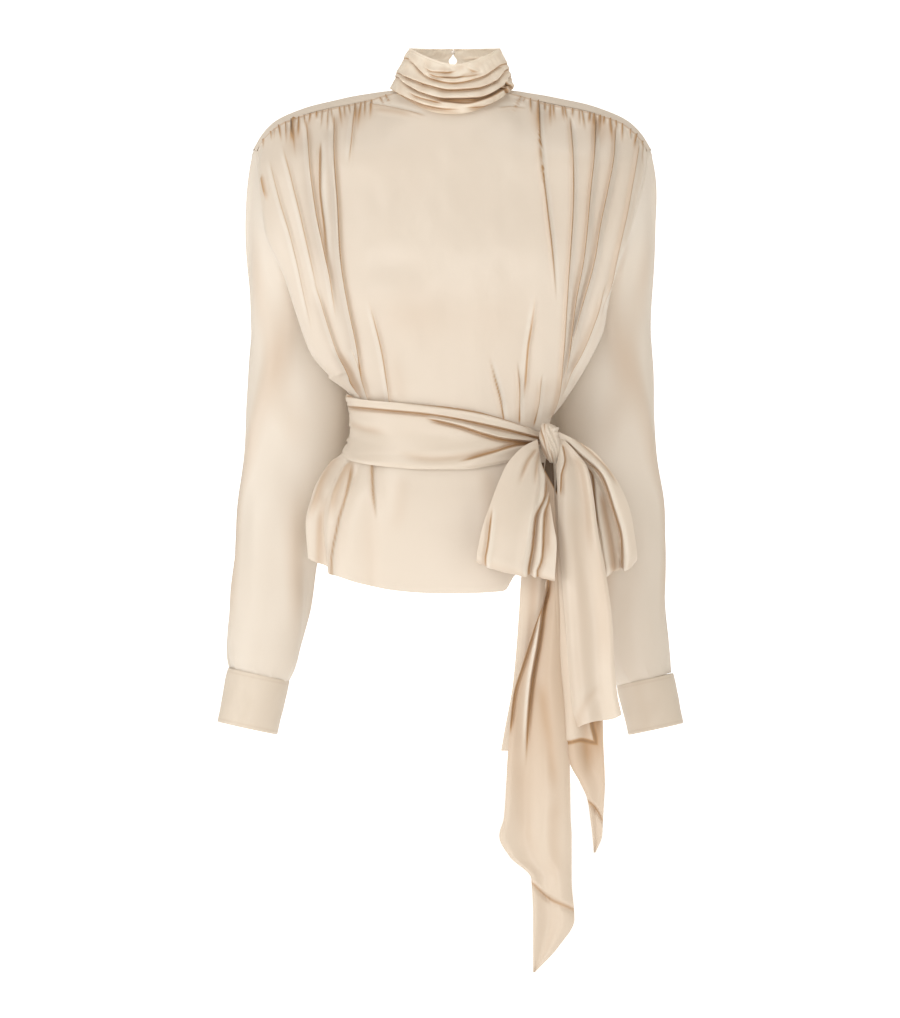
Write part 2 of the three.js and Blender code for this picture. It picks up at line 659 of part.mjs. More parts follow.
// Hanging ends: left and right edge at each height, and how far forward they hang
const TAIL_FRONT = table("z left right y", [
  [-377, 114.2, 124, -71],
  [-388, 113.6, 134, -77],
  [-402, 111, 144, -87],
  [-430, 112, 150, -98],
  [-470, 113, 155, -112],
  [-513, 116, 163, -120],
  [-565, 120, 170, -122],
  [-620, 124, 173, -122],
  [-650, 127, 176, -121],
  [-670, 133, 180, -120],
]);
const TAIL_BEHIND = table("z left right y", [
  [-391, 112.9, 122, -66],
  [-430, 112, 138, -84],
  [-470, 114, 148, -96],
  [-513, 117, 154, -104],
  [-600, 122, 160, -109],
  [-690, 126, 161, -109],
  [-718, 128, 161, -108],
  [-748, 143, 162, -107],
  [-788, 148, 160, -106],
  [-811, 151, 154, -106],
]);
const TAIL_LONG = table("z left right y", [
  [-398.6, 99, 108, -73],
  [-430, 96, 109, -90],
  [-470, 96, 111, -103],
  [-529, 99, 113, -113],
  [-586, 82, 116, -116],
  [-649, 64, 121, -116],
  [-707, 59, 125, -115],
  [-773, 55, 126, -114],
  [-793, 50, 127, -114],
  [-815, 61, 127, -113],
  [-838, 84, 127, -113],
  [-882, 86, 130, -112],
  [-911, 86, 113, -112],
  [-938, 86, 88, -112],
]);
const TAIL_STRAND = table("z left right y", [
  [-396.8, 93, 98, -71.5],
  [-430, 87, 97, -87],
  [-480, 78, 98, -101],
  [-523, 73, 98, -107],
  [-557, 72, 96, -109],
  [-629, 65, 92, -109],
  [-680, 56, 84, -108],
  [-703, 52, 78, -108],
]);

function makeTail(rows, { stations, waves = 1.5, depth = 3.5, phase = 0 }) {
  const columns = 8;
  const first = rows[0].z;
  const last = rows[rows.length - 1].z;
  return wall(gridOf(columns, stations, (u, v) => {
    const z = mix(first, last, v);
    const left = read(rows, "z", "left", z);
    const right = read(rows, "z", "right", z);
    const spread = clamp01((right - left - 8) / 40);
    const fold = depth * spread * Math.cos(2 * Math.PI * waves * u + phase);
    return new THREE.Vector3(mix(left, right, u), read(rows, "z", "y", z) + fold, z);
  }));
}

// The collar with its keyhole, a slit up to the rim and a seat for the button
async function makeCollar() {
  const wasm = await Module();
  wasm.setup();
  const solidOf = (geometry) => {
    const bare = geometry.clone();
    bare.deleteAttribute("normal");
    bare.deleteAttribute("uv");
    const merged = mergeVertices(bare, 1e-4);
    return new wasm.Manifold(new wasm.Mesh({
      numProp: 3,
      vertProperties: new Float32Array(merged.attributes.position.array),
      triVerts: new Uint32Array(merged.index.array),
    }));
  };
  const round = gridOf(34, 15, (u, v) => collarPoint(u * 2 * Math.PI + 0.04, v), true);
  const cloth = solidOf(wall(round, { around: true }));
  const { x, top, bottom, halfWidth } = KEYHOLE;
  const shape = new THREE.Shape();
  shape.moveTo(x - 0.4, 60);
  shape.lineTo(x - 0.4, top);
  shape.quadraticCurveTo(x - halfWidth, mix(top, bottom, 0.5), x - halfWidth, bottom + halfWidth);
  shape.absarc(x, bottom + halfWidth, halfWidth, Math.PI, 2 * Math.PI, false);
  shape.quadraticCurveTo(x + halfWidth, mix(top, bottom, 0.5), x + 0.4, top);
  shape.lineTo(x + 0.4, 60);
  const cut = new THREE.ExtrudeGeometry(shape, { depth: 40, bevelEnabled: false, curveSegments: 5 });
  cut.rotateX(Math.PI / 2).translate(0, 70, 0);
  const seat = new THREE.SphereGeometry(BUTTON_RADIUS + 0.35, 12, 8);
  seat.translate(buttonPlace.x, buttonPlace.y, buttonPlace.z);
  const mesh = cloth.subtract(solidOf(cut)).subtract(solidOf(seat)).getMesh();
  const geometry = new THREE.BufferGeometry();
  geometry.setAttribute("position", new THREE.Float32BufferAttribute(mesh.vertProperties, 3));
  geometry.setIndex([...mesh.triVerts]);
  geometry.computeVertexNormals();
  return geometry;
}

const buttonPlace = collarPoint(Math.PI, 0.09).setX(KEYHOLE.x);

function makeButton() {
  const geometry = new THREE.SphereGeometry(BUTTON_RADIUS, 10, 8);
  geometry.scale(1, 0.8, 1).translate(buttonPlace.x, buttonPlace.y, buttonPlace.z);
  return geometry;
}

// Finish of each piece
const CLOTH = { color: 0xe6d6c2, roughness: 0.38, metalness: 0 };
const CUFF_CLOTH = { color: 0xe2cdb8, roughness: 0.4, metalness: 0 };
const PEARL = { color: 0xefe9df, roughness: 0.2, metalness: 0 };

const blouse = new THREE.Group();
blouse.name = "blouse";

function add(name, geometry, finish = CLOTH) {
  const material = new THREE.MeshStandardMaterial(finish);
  material.name = name;
  const mesh = new THREE.Mesh(geometry, material);
  mesh.name = name;
  blouse.add(mesh);
}

add("front", makeFront());
add("back", makeBack());
add("yoke", makeYoke());
add("collar", await makeCollar());
add("collar_button", makeButton(), PEARL);
add("sleeve_left", makeSleeve(-1));
add("sleeve_right", makeSleeve(1));
add("cuff_left", makeCuff(CUFF.left), CUFF_CLOTH);
add("cuff_right", makeCuff(CUFF.right), CUFF_CLOTH);
add("peplum_front", makePeplumFront());
add("peplum_back", makePeplumBack());
add("sash", makeSash());
add("knot", makeKnot());
add("bow_loop_left", makeLoop(LOOP_LEFT));
add("bow_loop_right", makeLoop(LOOP_RIGHT));
add("tail_front", makeTail(TAIL_FRONT, { stations: 11, waves: 1.5, phase: 0.6 }));
add("tail_behind", makeTail(TAIL_BEHIND, { stations: 13, waves: 1, phase: 2 }));
add("tail_long", makeTail(TAIL_LONG, { stations: 18, waves: 1.4, phase: 3.4 }));
add("tail_strand", makeTail(TAIL_STRAND, { stations: 10, waves: 1, phase: 0.3 }));

export default blouse;
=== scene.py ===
import math

import bpy
import numpy as np
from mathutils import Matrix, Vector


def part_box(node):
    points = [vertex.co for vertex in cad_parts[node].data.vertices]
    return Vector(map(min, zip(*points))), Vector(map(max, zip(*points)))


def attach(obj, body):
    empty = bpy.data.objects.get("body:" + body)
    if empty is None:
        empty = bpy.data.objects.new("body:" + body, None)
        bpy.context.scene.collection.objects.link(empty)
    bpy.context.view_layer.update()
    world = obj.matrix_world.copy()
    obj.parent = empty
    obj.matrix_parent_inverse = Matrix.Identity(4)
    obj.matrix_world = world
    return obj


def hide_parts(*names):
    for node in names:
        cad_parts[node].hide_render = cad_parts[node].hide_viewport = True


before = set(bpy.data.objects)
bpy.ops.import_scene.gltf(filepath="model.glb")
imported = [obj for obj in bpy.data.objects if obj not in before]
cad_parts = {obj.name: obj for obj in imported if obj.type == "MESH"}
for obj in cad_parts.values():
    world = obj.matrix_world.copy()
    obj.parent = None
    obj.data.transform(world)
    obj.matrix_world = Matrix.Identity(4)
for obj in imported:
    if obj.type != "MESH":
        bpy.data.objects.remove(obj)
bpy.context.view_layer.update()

MM = 0.001
HOOK = 0.86
WAIST_Z = -366
UNDERARM_Z = -232


# Curves and fields

def smooth_read(xs, ys, x):
    """Smooth curve through a table that never overshoots its rows."""
    xs = np.asarray(xs, float)
    ys = np.asarray(ys, float)
    if xs[0] > xs[-1]:
        xs, ys = xs[::-1], ys[::-1]
    x = np.clip(x, xs[0], xs[-1])
    step = np.diff(xs)
    slope = np.diff(ys) / step
    tangent = np.concatenate([[slope[0]], np.zeros(len(xs) - 2), [slope[-1]]])
    a, b = slope[:-1], slope[1:]
    both = a * b > 0
    tangent[1:-1] = np.where(both, 2 * a * b / np.where(both, a + b, 1), 0)
    i = np.clip(np.searchsorted(xs, x, side="right") - 1, 0, len(xs) - 2)
    s = (x - xs[i]) / step[i]
    rise = ys[i] * (1 + 2 * s) + step[i] * s * tangent[i]
    fall = ys[i + 1] * (3 - 2 * s) + step[i] * (s - 1) * tangent[i + 1]
    return rise * (1 - s) ** 2 + fall * s ** 2


def column(rows, names, by, name, at):
    names = names.split()
    i, j = names.index(by), names.index(name)
    return smooth_read([row[i] for row in rows], [row[j] for row in rows], at)


def mix(a, b, t):
    return a + (b - a) * t


def ease(t):
    t = np.clip(t, 0, 1)
    return t * t * (3 - 2 * t)


def bell(t):
    return np.exp(-np.square(t))


def through(lines, t):
    """Smooth sheet through lines of points, lines[k][column], at rows t from 0 to 1."""
    lines = np.asarray(lines, float)
    last = len(lines) - 1
    span = np.clip(t, 0, 1) * last
    i = np.minimum(last - 1, span.astype(int))
    s = (span - i)[:, None, None]
    a, b = lines[np.maximum(i - 1, 0)], lines[i]
    c, d = lines[i + 1], lines[np.minimum(i + 2, last)]
    return b + 0.5 * s * (c - a + s * (2 * a - 5 * b + 4 * c - d + s * (3 * (b - c) + d - a)))


def soften(points, times, around=False):
    """Evens out a grid along its rows and columns; edges stay where they are."""
    p = points.copy()
    for _ in range(times):
        p[1:-1] = (p[:-2] + 2 * p[1:-1] + p[2:]) / 4
        if around:
            p = (np.roll(p, 1, 1) + 2 * p + np.roll(p, -1, 1)) / 4
        else:
            p[:, 1:-1] = (p[:, :-2] + 2 * p[:, 1:-1] + p[:, 2:]) / 4
    return p


def normals(points, around=False):
    down = np.gradient(points, axis=0)
    if around:
        across = (np.roll(points, -1, 1) - np.roll(points, 1, 1)) / 2
    else:
        across = np.gradient(points, axis=1)
    n = np.cross(across, down)
    return n / np.maximum(np.linalg.norm(n, axis=2, keepdims=True), 1e-9)


def ripple(x, y, scale, seed):
    """Soft, uneven, repeatable waves between -1 and 1."""
    rng = np.random.default_rng(seed)
    total = np.zeros(np.broadcast(x, y).shape)
    for _ in range(7):
        angle, phase = rng.uniform(0, 2 * np.pi, 2)
        k = rng.uniform(0.6, 1.7) * 2 * np.pi / scale
        total += np.sin(k * (x * np.cos(angle) + y * np.sin(angle)) + phase)
    return total / 4


def pleat(e, width):
    """Section of cloth that rises to an edge at e = 0 and tucks under it; e is above 0 on the raised side."""
    rise = np.where(e > 0, bell(e / width), bell(e / 0.9))
    return rise - 0.85 * bell((e + 2.3) / 1.8)


def trough(e, width):
    """Section of a soft crease: a hollow between two low ridges."""
    return 0.35 * bell((np.abs(e) - 2.2 * width) / width) - bell(e / width)


def folded(x, z, folds, across=False):
    """Height, and painted light, from folds drawn as lines in the front view: painted shade in each tuck and crease and
    a painted highlight along each raised edge. Each runs down through its (x, z) points, or across through them. side
    is where its raised cloth lies, +1 or -1, or 0 for a soft crease."""
    height = np.zeros(np.broadcast(x, z).shape)
    painted_light = np.zeros(height.shape)
    for points, side, width, depth, fade_in, fade_out in folds:
        xs, zs = [q[0] for q in points], [q[1] for q in points]
        if across:
            e = z - smooth_read(xs, zs, x)
            reach = ease((x - xs[0]) / fade_in) * ease((xs[-1] - x) / fade_out)
        else:
            e = x - smooth_read(zs, xs, z)
            reach = ease((zs[0] - z) / fade_in) * ease((z - zs[-1]) / fade_out)
        height = height + depth * reach * (pleat(e * side, width) if side else trough(e, width))
        # Painted light: a dark painted line under the raised edge, painted shade beside it and a painted highlight on
        # the ridge; a soft crease gets painted shade only
        if side:
            edge = e * side
            tuck_shade_and_highlight = 1.5 * bell((edge + 1.2) / 0.9) + 0.25 * bell((edge + 3.2) / 3) - 0.5 * bell((edge - 1.8) / 2.2)
        else:
            tuck_shade_and_highlight = min(1, 2.2 / width) * bell(e / width)
        painted_light = painted_light + depth * reach * tuck_shade_and_highlight
    return height, painted_light / 3.4


# Materials

def nodes_of(material):
    material.use_nodes = True
    tree = material.node_tree
    tree.nodes.clear()
    return tree


def satin(name, light, shade_colour, gloss=0.34, through=0.16, seed=0.0):
    """Silk satin: soft lustre, a fine diagonal weave and slight unevenness, with painted warm shade in its folds and
    painted shadow in its gaps, read from the fold attribute.
    """
    material = bpy.data.materials.new(name)
    tree = nodes_of(material)
    new, link = tree.nodes.new, tree.links.new
    out = new("ShaderNodeOutputMaterial")
    shader = new("ShaderNodeBsdfPrincipled")
    through_cloth = new("ShaderNodeBsdfTranslucent")
    blend = new("ShaderNodeMixShader")
    blend.inputs["Fac"].default_value = through
    link(shader.outputs[0], blend.inputs[1])
    link(through_cloth.outputs[0], blend.inputs[2])
    link(blend.outputs[0], out.inputs[0])
    shader.inputs["Sheen Weight"].default_value = 0.5
    shader.inputs["Sheen Roughness"].default_value = 0.45
    shader.inputs["Sheen Tint"].default_value = (1.0, 0.93, 0.84, 1)
    shader.inputs["Specular IOR Level"].default_value = 0.5
    shader.inputs["Anisotropic"].default_value = 0.45

    place = new("ShaderNodeTexCoord")
    # The fold attribute holds painted shade for folds and painted shadow for gaps; the noise adds tone that differs at
    # random
    fold = new("ShaderNodeAttribute")
    fold.attribute_name = "fold"
    cloud = new("ShaderNodeTexNoise")
    cloud.inputs["Scale"].default_value = 9.0
    cloud.inputs["Detail"].default_value = 2.0
    cloud.noise_dimensions = "4D"
    cloud.inputs["W"].default_value = seed
    link(place.outputs["Object"], cloud.inputs["Vector"])
    uneven_and_painted_shade = new("ShaderNodeMath")
    uneven_and_painted_shade.operation = "MULTIPLY_ADD"
    link(cloud.outputs["Fac"], uneven_and_painted_shade.inputs[0])
    uneven_and_painted_shade.inputs[1].default_value = 0.10
    link(fold.outputs["Fac"], uneven_and_painted_shade.inputs[2])
    painted_shade_mix = new("ShaderNodeMix")
    painted_shade_mix.data_type = "RGBA"
    painted_shade_mix.clamp_factor = True
    painted_shade_mix.inputs["A"].default_value = (*light, 1)
    painted_shade_mix.inputs["B"].default_value = (*shade_colour, 1)
    link(uneven_and_painted_shade.outputs[0], painted_shade_mix.inputs["Factor"])
    # Painted shadow: a fold value from 1 to 2 darkens the colour down to a fifth, for gaps and the hole under the knot
    gap = new("ShaderNodeMapRange")
    for socket, value in (("From Min", 1.0), ("From Max", 2.0), ("To Min", 1.0), ("To Max", 0.2)):
        gap.inputs[socket].default_value = value
    link(fold.outputs["Fac"], gap.inputs["Value"])
    colour = new("ShaderNodeVectorMath")
    colour.operation = "SCALE"
    link(painted_shade_mix.outputs["Result"], colour.inputs[0])
    link(gap.outputs["Result"], colour.inputs["Scale"])
    link(colour.outputs[0], shader.inputs["Base Color"])
    link(colour.outputs[0], through_cloth.inputs["Color"])

    rough = new("ShaderNodeMapRange")
    rough.inputs["To Min"].default_value = gloss - 0.04
    rough.inputs["To Max"].default_value = gloss + 0.08
    link(cloud.outputs["Fac"], rough.inputs["Value"])
    link(rough.outputs["Result"], shader.inputs["Roughness"])

    weave = new("ShaderNodeTexWave")
    weave.bands_direction = "DIAGONAL"
    weave.inputs["Scale"].default_value = 900.0
    weave.inputs["Distortion"].default_value = 0.6
    link(place.outputs["Object"], weave.inputs["Vector"])
    slub = new("ShaderNodeTexNoise")
    slub.inputs["Scale"].default_value = 160.0
    link(place.outputs["Object"], slub.inputs["Vector"])
    both = new("ShaderNodeMath")
    both.operation = "ADD"
    link(weave.outputs["Fac"], both.inputs[0])
    link(slub.outputs["Fac"], both.inputs[1])
    bump = new("ShaderNodeBump")
    bump.inputs["Strength"].default_value = 0.08
    bump.inputs["Distance"].default_value = 0.0004
    link(both.outputs[0], bump.inputs["Height"])
    link(bump.outputs[0], shader.inputs["Normal"])
    return material


def pearl(name):
    material = bpy.data.materials.new(name)
    tree = nodes_of(material)
    new, link = tree.nodes.new, tree.links.new
    out = new("ShaderNodeOutputMaterial")
    shader = new("ShaderNodeBsdfPrincipled")
    link(shader.outputs[0], out.inputs[0])
    shader.inputs["Roughness"].default_value = 0.16
    shader.inputs["Coat Weight"].default_value = 0.5
    shader.inputs["Coat Roughness"].default_value = 0.08
    # Painted sheen: the pearl is coloured paler and pinker towards its rim
    gleam = new("ShaderNodeLayerWeight")
    gleam.inputs["Blend"].default_value = 0.35
    painted_light = new("ShaderNodeMix")
    painted_light.data_type = "RGBA"
    painted_light.inputs["A"].default_value = (0.86, 0.82, 0.76, 1)
    painted_light.inputs["B"].default_value = (0.95, 0.86, 0.84, 1)
    link(gleam.outputs["Facing"], painted_light.inputs["Factor"])
    link(painted_light.outputs["Result"], shader.inputs["Base Color"])
    return material


# LIGHT is the silk at a painted highlight, PAINTED_SHADE_COLOUR the painted shade in its folds. The sleeves, tie, cuffs
# and collar are the same silk in lighter copies that make up for the shade they lie in: painted light, most of all on
# the collar.
LIGHT = (0.745, 0.685, 0.605)
PAINTED_SHADE_COLOUR = (0.45, 0.265, 0.125)
SATIN = satin("satin", LIGHT, PAINTED_SHADE_COLOUR)
SLEEVE_SATIN = satin("sleeve_satin", (0.775, 0.712, 0.63), PAINTED_SHADE_COLOUR, seed=2.0)
SATIN_TIE = satin("satin_tie", (0.765, 0.697, 0.605), (0.42, 0.24, 0.11), gloss=0.31, seed=3.0)
CUFF_SATIN = satin("cuff_satin", (0.77, 0.69, 0.585), (0.45, 0.32, 0.22), gloss=0.38, seed=5.0)
COLLAR_SATIN = satin("collar_satin", (0.96, 0.88, 0.76), (0.56, 0.35, 0.19), gloss=0.25, through=0.36, seed=8.0)
PEARL = pearl("pearl")


# Pieces

FLAT_PAINTED_SHADE = 0.12  # painted shade on flat cloth: raised edges get less of it, as a painted highlight, and tucks more


def cloth(name, points, depth=None, around=False, material=None, replaces=()):
    """A skin from a grid of points in millimetres. depth is painted shade: up to 1 it warms the folds, and from 1 to 2
    it darkens gaps as painted shadow.
    """
    rows, columns = points.shape[:2]
    mesh = bpy.data.meshes.new(name)
    spans = columns if around else columns - 1
    j, i = np.meshgrid(np.arange(rows - 1), np.arange(spans), indexing="ij")
    right = (i + 1) % columns
    corners = [j * columns + i, (j + 1) * columns + i, (j + 1) * columns + right, j * columns + right]
    quads = np.stack(corners, axis=-1).reshape(-1, 4)
    mesh.from_pydata((points.reshape(-1, 3) * MM).tolist(), [], quads.tolist())
    mesh.polygons.foreach_set("use_smooth", np.ones(len(quads), bool))
    if depth is not None:
        # The fold attribute carries the painted shade and painted shadow to the material
        layer = mesh.attributes.new("fold", "FLOAT", "POINT")
        layer.data.foreach_set("value", np.clip(depth + FLAT_PAINTED_SHADE, 0, 2).reshape(-1).astype(np.float32))
    mesh.materials.append(material or SATIN)
    mesh.validate()
    mesh.update()
    piece = bpy.data.objects.new(name, mesh)
    bpy.context.scene.collection.objects.link(piece)
    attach(piece, "root")
    if replaces:
        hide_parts(*replaces)
    return piece


def displaced(points, height, around=False):
    return points + normals(points, around) * height[..., None]


def hollow_shade(height, full=6.0, base=0.0):
    """How deep in a fold the cloth lies, from its height above the form, as painted shade for its hollows."""
    return np.clip(base - height / full, 0, 1)


# The body: half-sections at each height, as on the solids

BODICE_NAMES = "z side_z left right wide_y front_y back_y edge_x edge_y edge_z rear_x rear_y"
BODICE = [
    [-60, -80, 207, 206, -36, -92, 84, 206, -30, -86, 202, 40],
    [-105, -116, 204, 198, -56, -107, 94, 198, -49, -120, 194, 54],
    [-150, -159, 197, 188, -70, -120, 98, 185, -47, -162, 183, 60],
    [-188, -194, 181, 175, -72, -126, 97, 166, -32, -202, 164, 50],
    [-222, -228, 170, 167, -70, -122, 94, 139, 0, UNDERARM_Z, 139, 3],
    [-256, -258, 160, 161, -62, -113, 91, 112, 4, -258, 112, 5],
    [-284, -284, 149, 149, -56, -106, 88, 104, 2, -284, 104, 3],
    [-306, -306, 129, 137, -42, -99, 86, 101, 0, -306, 101, 1],
    [-322, -322, 111, 127, -22, -94, 84, 101, 0, -322, 101, 1],
    [-336, -336, 107.5, 117, -12, -90, 82, 102, 2, -336, 102, 3],
    [-350, -350, 106.5, 106, -9, -87, 80, 102, 4, -350, 102, 5],
    [WAIST_Z, WAIST_Z, 106, 103, -8, -85, 79, 100, 4, WAIST_Z, 100, 5],
]
FRONT_TOP = [
    [0, 0, -72, -17], [0.12, 28, -64, -14], [0.22, 46, -46, -6], [0.3, 62, -27, -2.4],
    [0.4, 92, -25.5, -10.2], [0.65, 150, -30.5, -23.2], [0.78, 180, -29.6, -33.2],
    [HOOK, 198, -26.6, -47.2], [0.94, 205, -19.6, -56.2], [1, 208, -12.5, -64.2],
]


def oval(x, width, wide_y, end_y, power):
    inside = np.maximum(0, 1 - np.abs(x / width) ** power)
    return wide_y + (end_y - wide_y) * inside ** (1 / power)


def front_section(row, s):
    r = dict(zip(BODICE_NAMES.split(), row))
    side = np.sign(s)
    q = np.abs(s)
    width = np.where(s < 0, r["left"], r["right"])
    f = np.minimum(q / HOOK, 1)
    x = width * mix(f, np.sin(f * np.pi / 2), 0.55)
    y = oval(x, width, r["wide_y"], r["front_y"], 2.3)
    z = mix(r["z"], r["side_z"], f * f)
    turn = np.clip((q - HOOK) / (1 - HOOK), 0, 1) * np.pi / 2
    round_edge = q > HOOK
    x = np.where(round_edge, width - (width - r["edge_x"]) * (1 - np.cos(turn)), x)
    y = np.where(round_edge, r["wide_y"] + (r["edge_y"] - r["wide_y"]) * np.sin(turn), y)
    z = np.where(round_edge, mix(r["side_z"], r["edge_z"], 1 - np.cos(turn)), z)
    return np.stack([side * x, y, z], axis=-1)


def back_section(row, s):
    r = dict(zip(BODICE_NAMES.split(), row))
    x = r["rear_x"] * np.sin(np.abs(s) * np.pi / 2)
    power = mix(2.3, 2.0, float(ease((-250 - r["z"]) / 80)))
    y = oval(x, r["rear_x"], r["rear_y"], r["back_y"], power)
    return np.stack([np.sign(s) * x, y, mix(r["z"], r["edge_z"], s * s)], axis=-1)


def edge_line(rows, s):
    q = np.abs(s)
    at = [row[0] for row in rows]
    xyz = [smooth_read(at, [row[k] for row in rows], q) for k in (1, 2, 3)]
    return np.stack([np.sign(s) * xyz[0], xyz[1], xyz[2]], axis=-1)


# Folds of the front, from the gathered shoulders to the waist: line, raised side, width, depth, fades
FRONT_FOLDS = [
    ([(-127, -22), (-127, -58), (-123, -122), (-120, -180), (-112, -229), (-105, -261), (-93, -335)],
     -1, 11, 4.4, 22, 70),
    ([(-157, -26), (-153, -77), (-146, -129), (-137, -174), (-131, -205), (-124, -250)], -1, 10, 3.6, 25, 70),
    ([(-139, -50), (-139, -100), (-134, -150), (-130, -200)], 1, 5, 1.8, 20, 60),
    ([(-148, -205), (-139, -233), (-125, -275), (-112, -300), (-99, -330)], -1, 8, 3.4, 35, 18),
    ([(-183, -55), (-164, -127), (-151, -185), (-142, -230)], -1, 12, 1.7, 30, 60),
    ([(-197, -70), (-186, -112), (-172, -160), (-160, -215), (-150, -262)], -1, 9, 1.5, 30, 60),
    ([(-168, -24), (-171, -40), (-172, -58)], 0, 1.6, 2.8, 6, 18),
    ([(-105, -13), (-107, -40), (-111, -84)], -1, 6, 2.4, 8, 40),
    ([(-203, -88), (-200, -102), (-196, -120)], 0, 1.6, 2.6, 8, 12),
    ([(-128, -272), (-116, -292), (-99, -330)], -1, 6, 2.4, 18, 8),
    ([(-109, -276), (-101, -298), (-90, -334)], -1, 7, 2.6, 18, 8),
    ([(-90, -222), (-82, -253), (-75, -285), (-67, -340)], -1, 15, 2.4, 50, 8),
    ([(-64, -262), (-60, -290), (-52, -344)], 0, 9, 1.3, 40, 10),
    ([(94, -8), (95, -47), (98, -85), (103, -129), (109, -185), (112, -230)], 1, 17, 3.0, 14, 80),
    ([(127, -26), (129.5, -64), (130.5, -105), (129.5, -138), (127, -179), (124, -219), (120, -279),
      (116, -319), (106, -356)], 1, 12, 3.4, 16, 14),
    ([(155, -24), (152.5, -72), (149, -105), (145.5, -147), (142, -179), (133, -229), (127, -279),
      (119, -325)], 1, 11, 4.2, 18, 30),
    ([(176, -34), (174, -68), (167.6, -104), (159, -147), (154, -179), (138, -241), (126, -295)],
     1, 10, 4.0, 20, 45),
    ([(202, -48), (199, -68), (192.6, -104), (185.6, -138), (178, -170), (168, -215), (158, -250)],
     1, 8, 3.4, 16, 50),
    ([(165, -205), (156, -238), (145, -268), (131, -300), (119, -330)], 1, 8, 3.2, 30, 16),
    ([(40, -280), (46, -304), (53, -330), (57, -356)], 1, 14, 2.2, 40, 8),
    ([(70, -285), (73.8, -324), (72.8, -358)], 1, 10, 2.2, 40, 8),
    ([(97, -300), (94, -333), (87.7, -360)], 1, 8, 2.4, 25, 8),
    ([(88, -215), (84, -245), (79, -280), (76, -335)], -1, 14, 1.8, 50, 30),
]
# Short creases that run from the collar's foot across the chest
NECK_FOLDS = [
    ([(-92, -12), (-70, -15), (-50, -20), (-26, -27)], 1, 4, 1.6, 10, 14),
    ([(-84, -20), (-62, -23), (-40, -28)], 0, 2.5, 1.0, 10, 14),
    ([(48, -18), (62, -16), (80, -17)], 1, 3, 1.2, 8, 10),
]
GATHERS = 22


def gathers(x, z, seed, first=70, last=204, count=GATHERS, depth=6.0):
    """Small uneven gathers that hang from the yoke: sharp valleys between rounded cloth."""
    rng = np.random.default_rng(seed)
    below = np.maximum(0, smooth_read([row[1] for row in FRONT_TOP[3:]], [row[3] for row in FRONT_TOP[3:]], x) - z)
    height = np.zeros(x.shape)
    step = (last - first) / count
    for k in range(count):
        centre = first + (k + 0.5 + rng.uniform(-0.34, 0.34)) * step
        length = rng.uniform(10, 30) * (1.7 if rng.random() < 0.25 else 1.0)
        width = rng.uniform(0.8, 1.8)
        slant = rng.uniform(-0.16, 0.16) - 0.5 * (k < 2)
        offset = np.abs(x - centre - slant * below)
        near = np.exp(-offset / (width * (1 + below / 26)))
        reach = ease(below / 2.2) * (1 - ease(below / length))
        rounded = 0.42 * bell(offset / (0.6 * step))
        height -= depth * rng.uniform(0.7, 1.3) * (near - rounded) * reach
    return height


def make_front():
    gathered = np.linspace(0.33, HOOK, 232)
    s = np.concatenate([-np.linspace(1, HOOK, 20)[:-1], -gathered[::-1][:-1], np.linspace(-0.33, 0.33, 60)[:-1],
                        gathered[:-1], np.linspace(HOOK, 1, 20)])
    t = np.concatenate([np.linspace(0, 0.09, 44)[:-1], np.linspace(0.09, 1, 118)])
    top = edge_line(FRONT_TOP, s)
    p = through([top] + [front_section(row, s) for row in BODICE], t)
    p = soften(p, 3)
    q = np.abs(s)[None, :]
    x, z = p[..., 0], p[..., 2]
    below = np.maximum(0, top[None, :, 2] - z)
    open_cloth = 1 - ease((q - 0.82) / 0.06)
    height, painted_light = folded(x, z, FRONT_FOLDS)
    creases, crease_painted_light = folded(x, z, NECK_FOLDS, across=True)
    gathered = np.where(x < 0, gathers(-x, z, 11), gathers(x, z, 23)) * ease((np.abs(x) - 64) / 6)
    height = height * open_cloth + creases + gathered
    # Painted shade in the folds, creases and gathers and along the yoke seam, with a painted highlight on the rounded
    # gathers
    shade = painted_light * ease((0.9 - q) / 0.03) + crease_painted_light + hollow_shade(gathered, 1.9) * ease((0.97 - q) / 0.04)
    shade = shade + 0.5 * bell((below - 1.2) / 1.0) * (q > 0.3) - 0.1 * ease(gathered / 1.5)
    hollow_left, hollow_right = bell((z + 238) / 26) * bell((x + 38) / 40), bell((z + 244) / 30) * bell((x - 44) / 36)
    height += 4.2 * bell((z + 188) / 20) * bell((x + 62) / 46) - 3.6 * hollow_left
    height += 2.8 * bell((z + 192) / 24) * bell((x - 50) / 40) - 2.4 * hollow_right
    # Painted shade in the hollows under the bust
    shade = shade + 0.1 * hollow_left + 0.06 * hollow_right
    height += (1.3 * ripple(x, z * 0.45, 95, 5) + 0.35 * ripple(x, z * 0.6, 34, 6)) * ease(below / 40) * open_cloth
    height *= ease((z + 352) / 20) * (1 - ease((q - 0.93) / 0.05))
    height -= 0.6 * bell((below - 2.2) / 1.1) * (q > 0.28)
    p = displaced(p, height)
    # A pinch of cloth stands out over the left end of the sash
    pinch = bell((z + 312) / 5.5) * ease((-x - 100) / 20) * (x < 0)
    p[..., 0] -= 9 * pinch
    p[..., 2] += 5 * pinch
    return cloth("front_skin", p, shade, replaces=["front"])


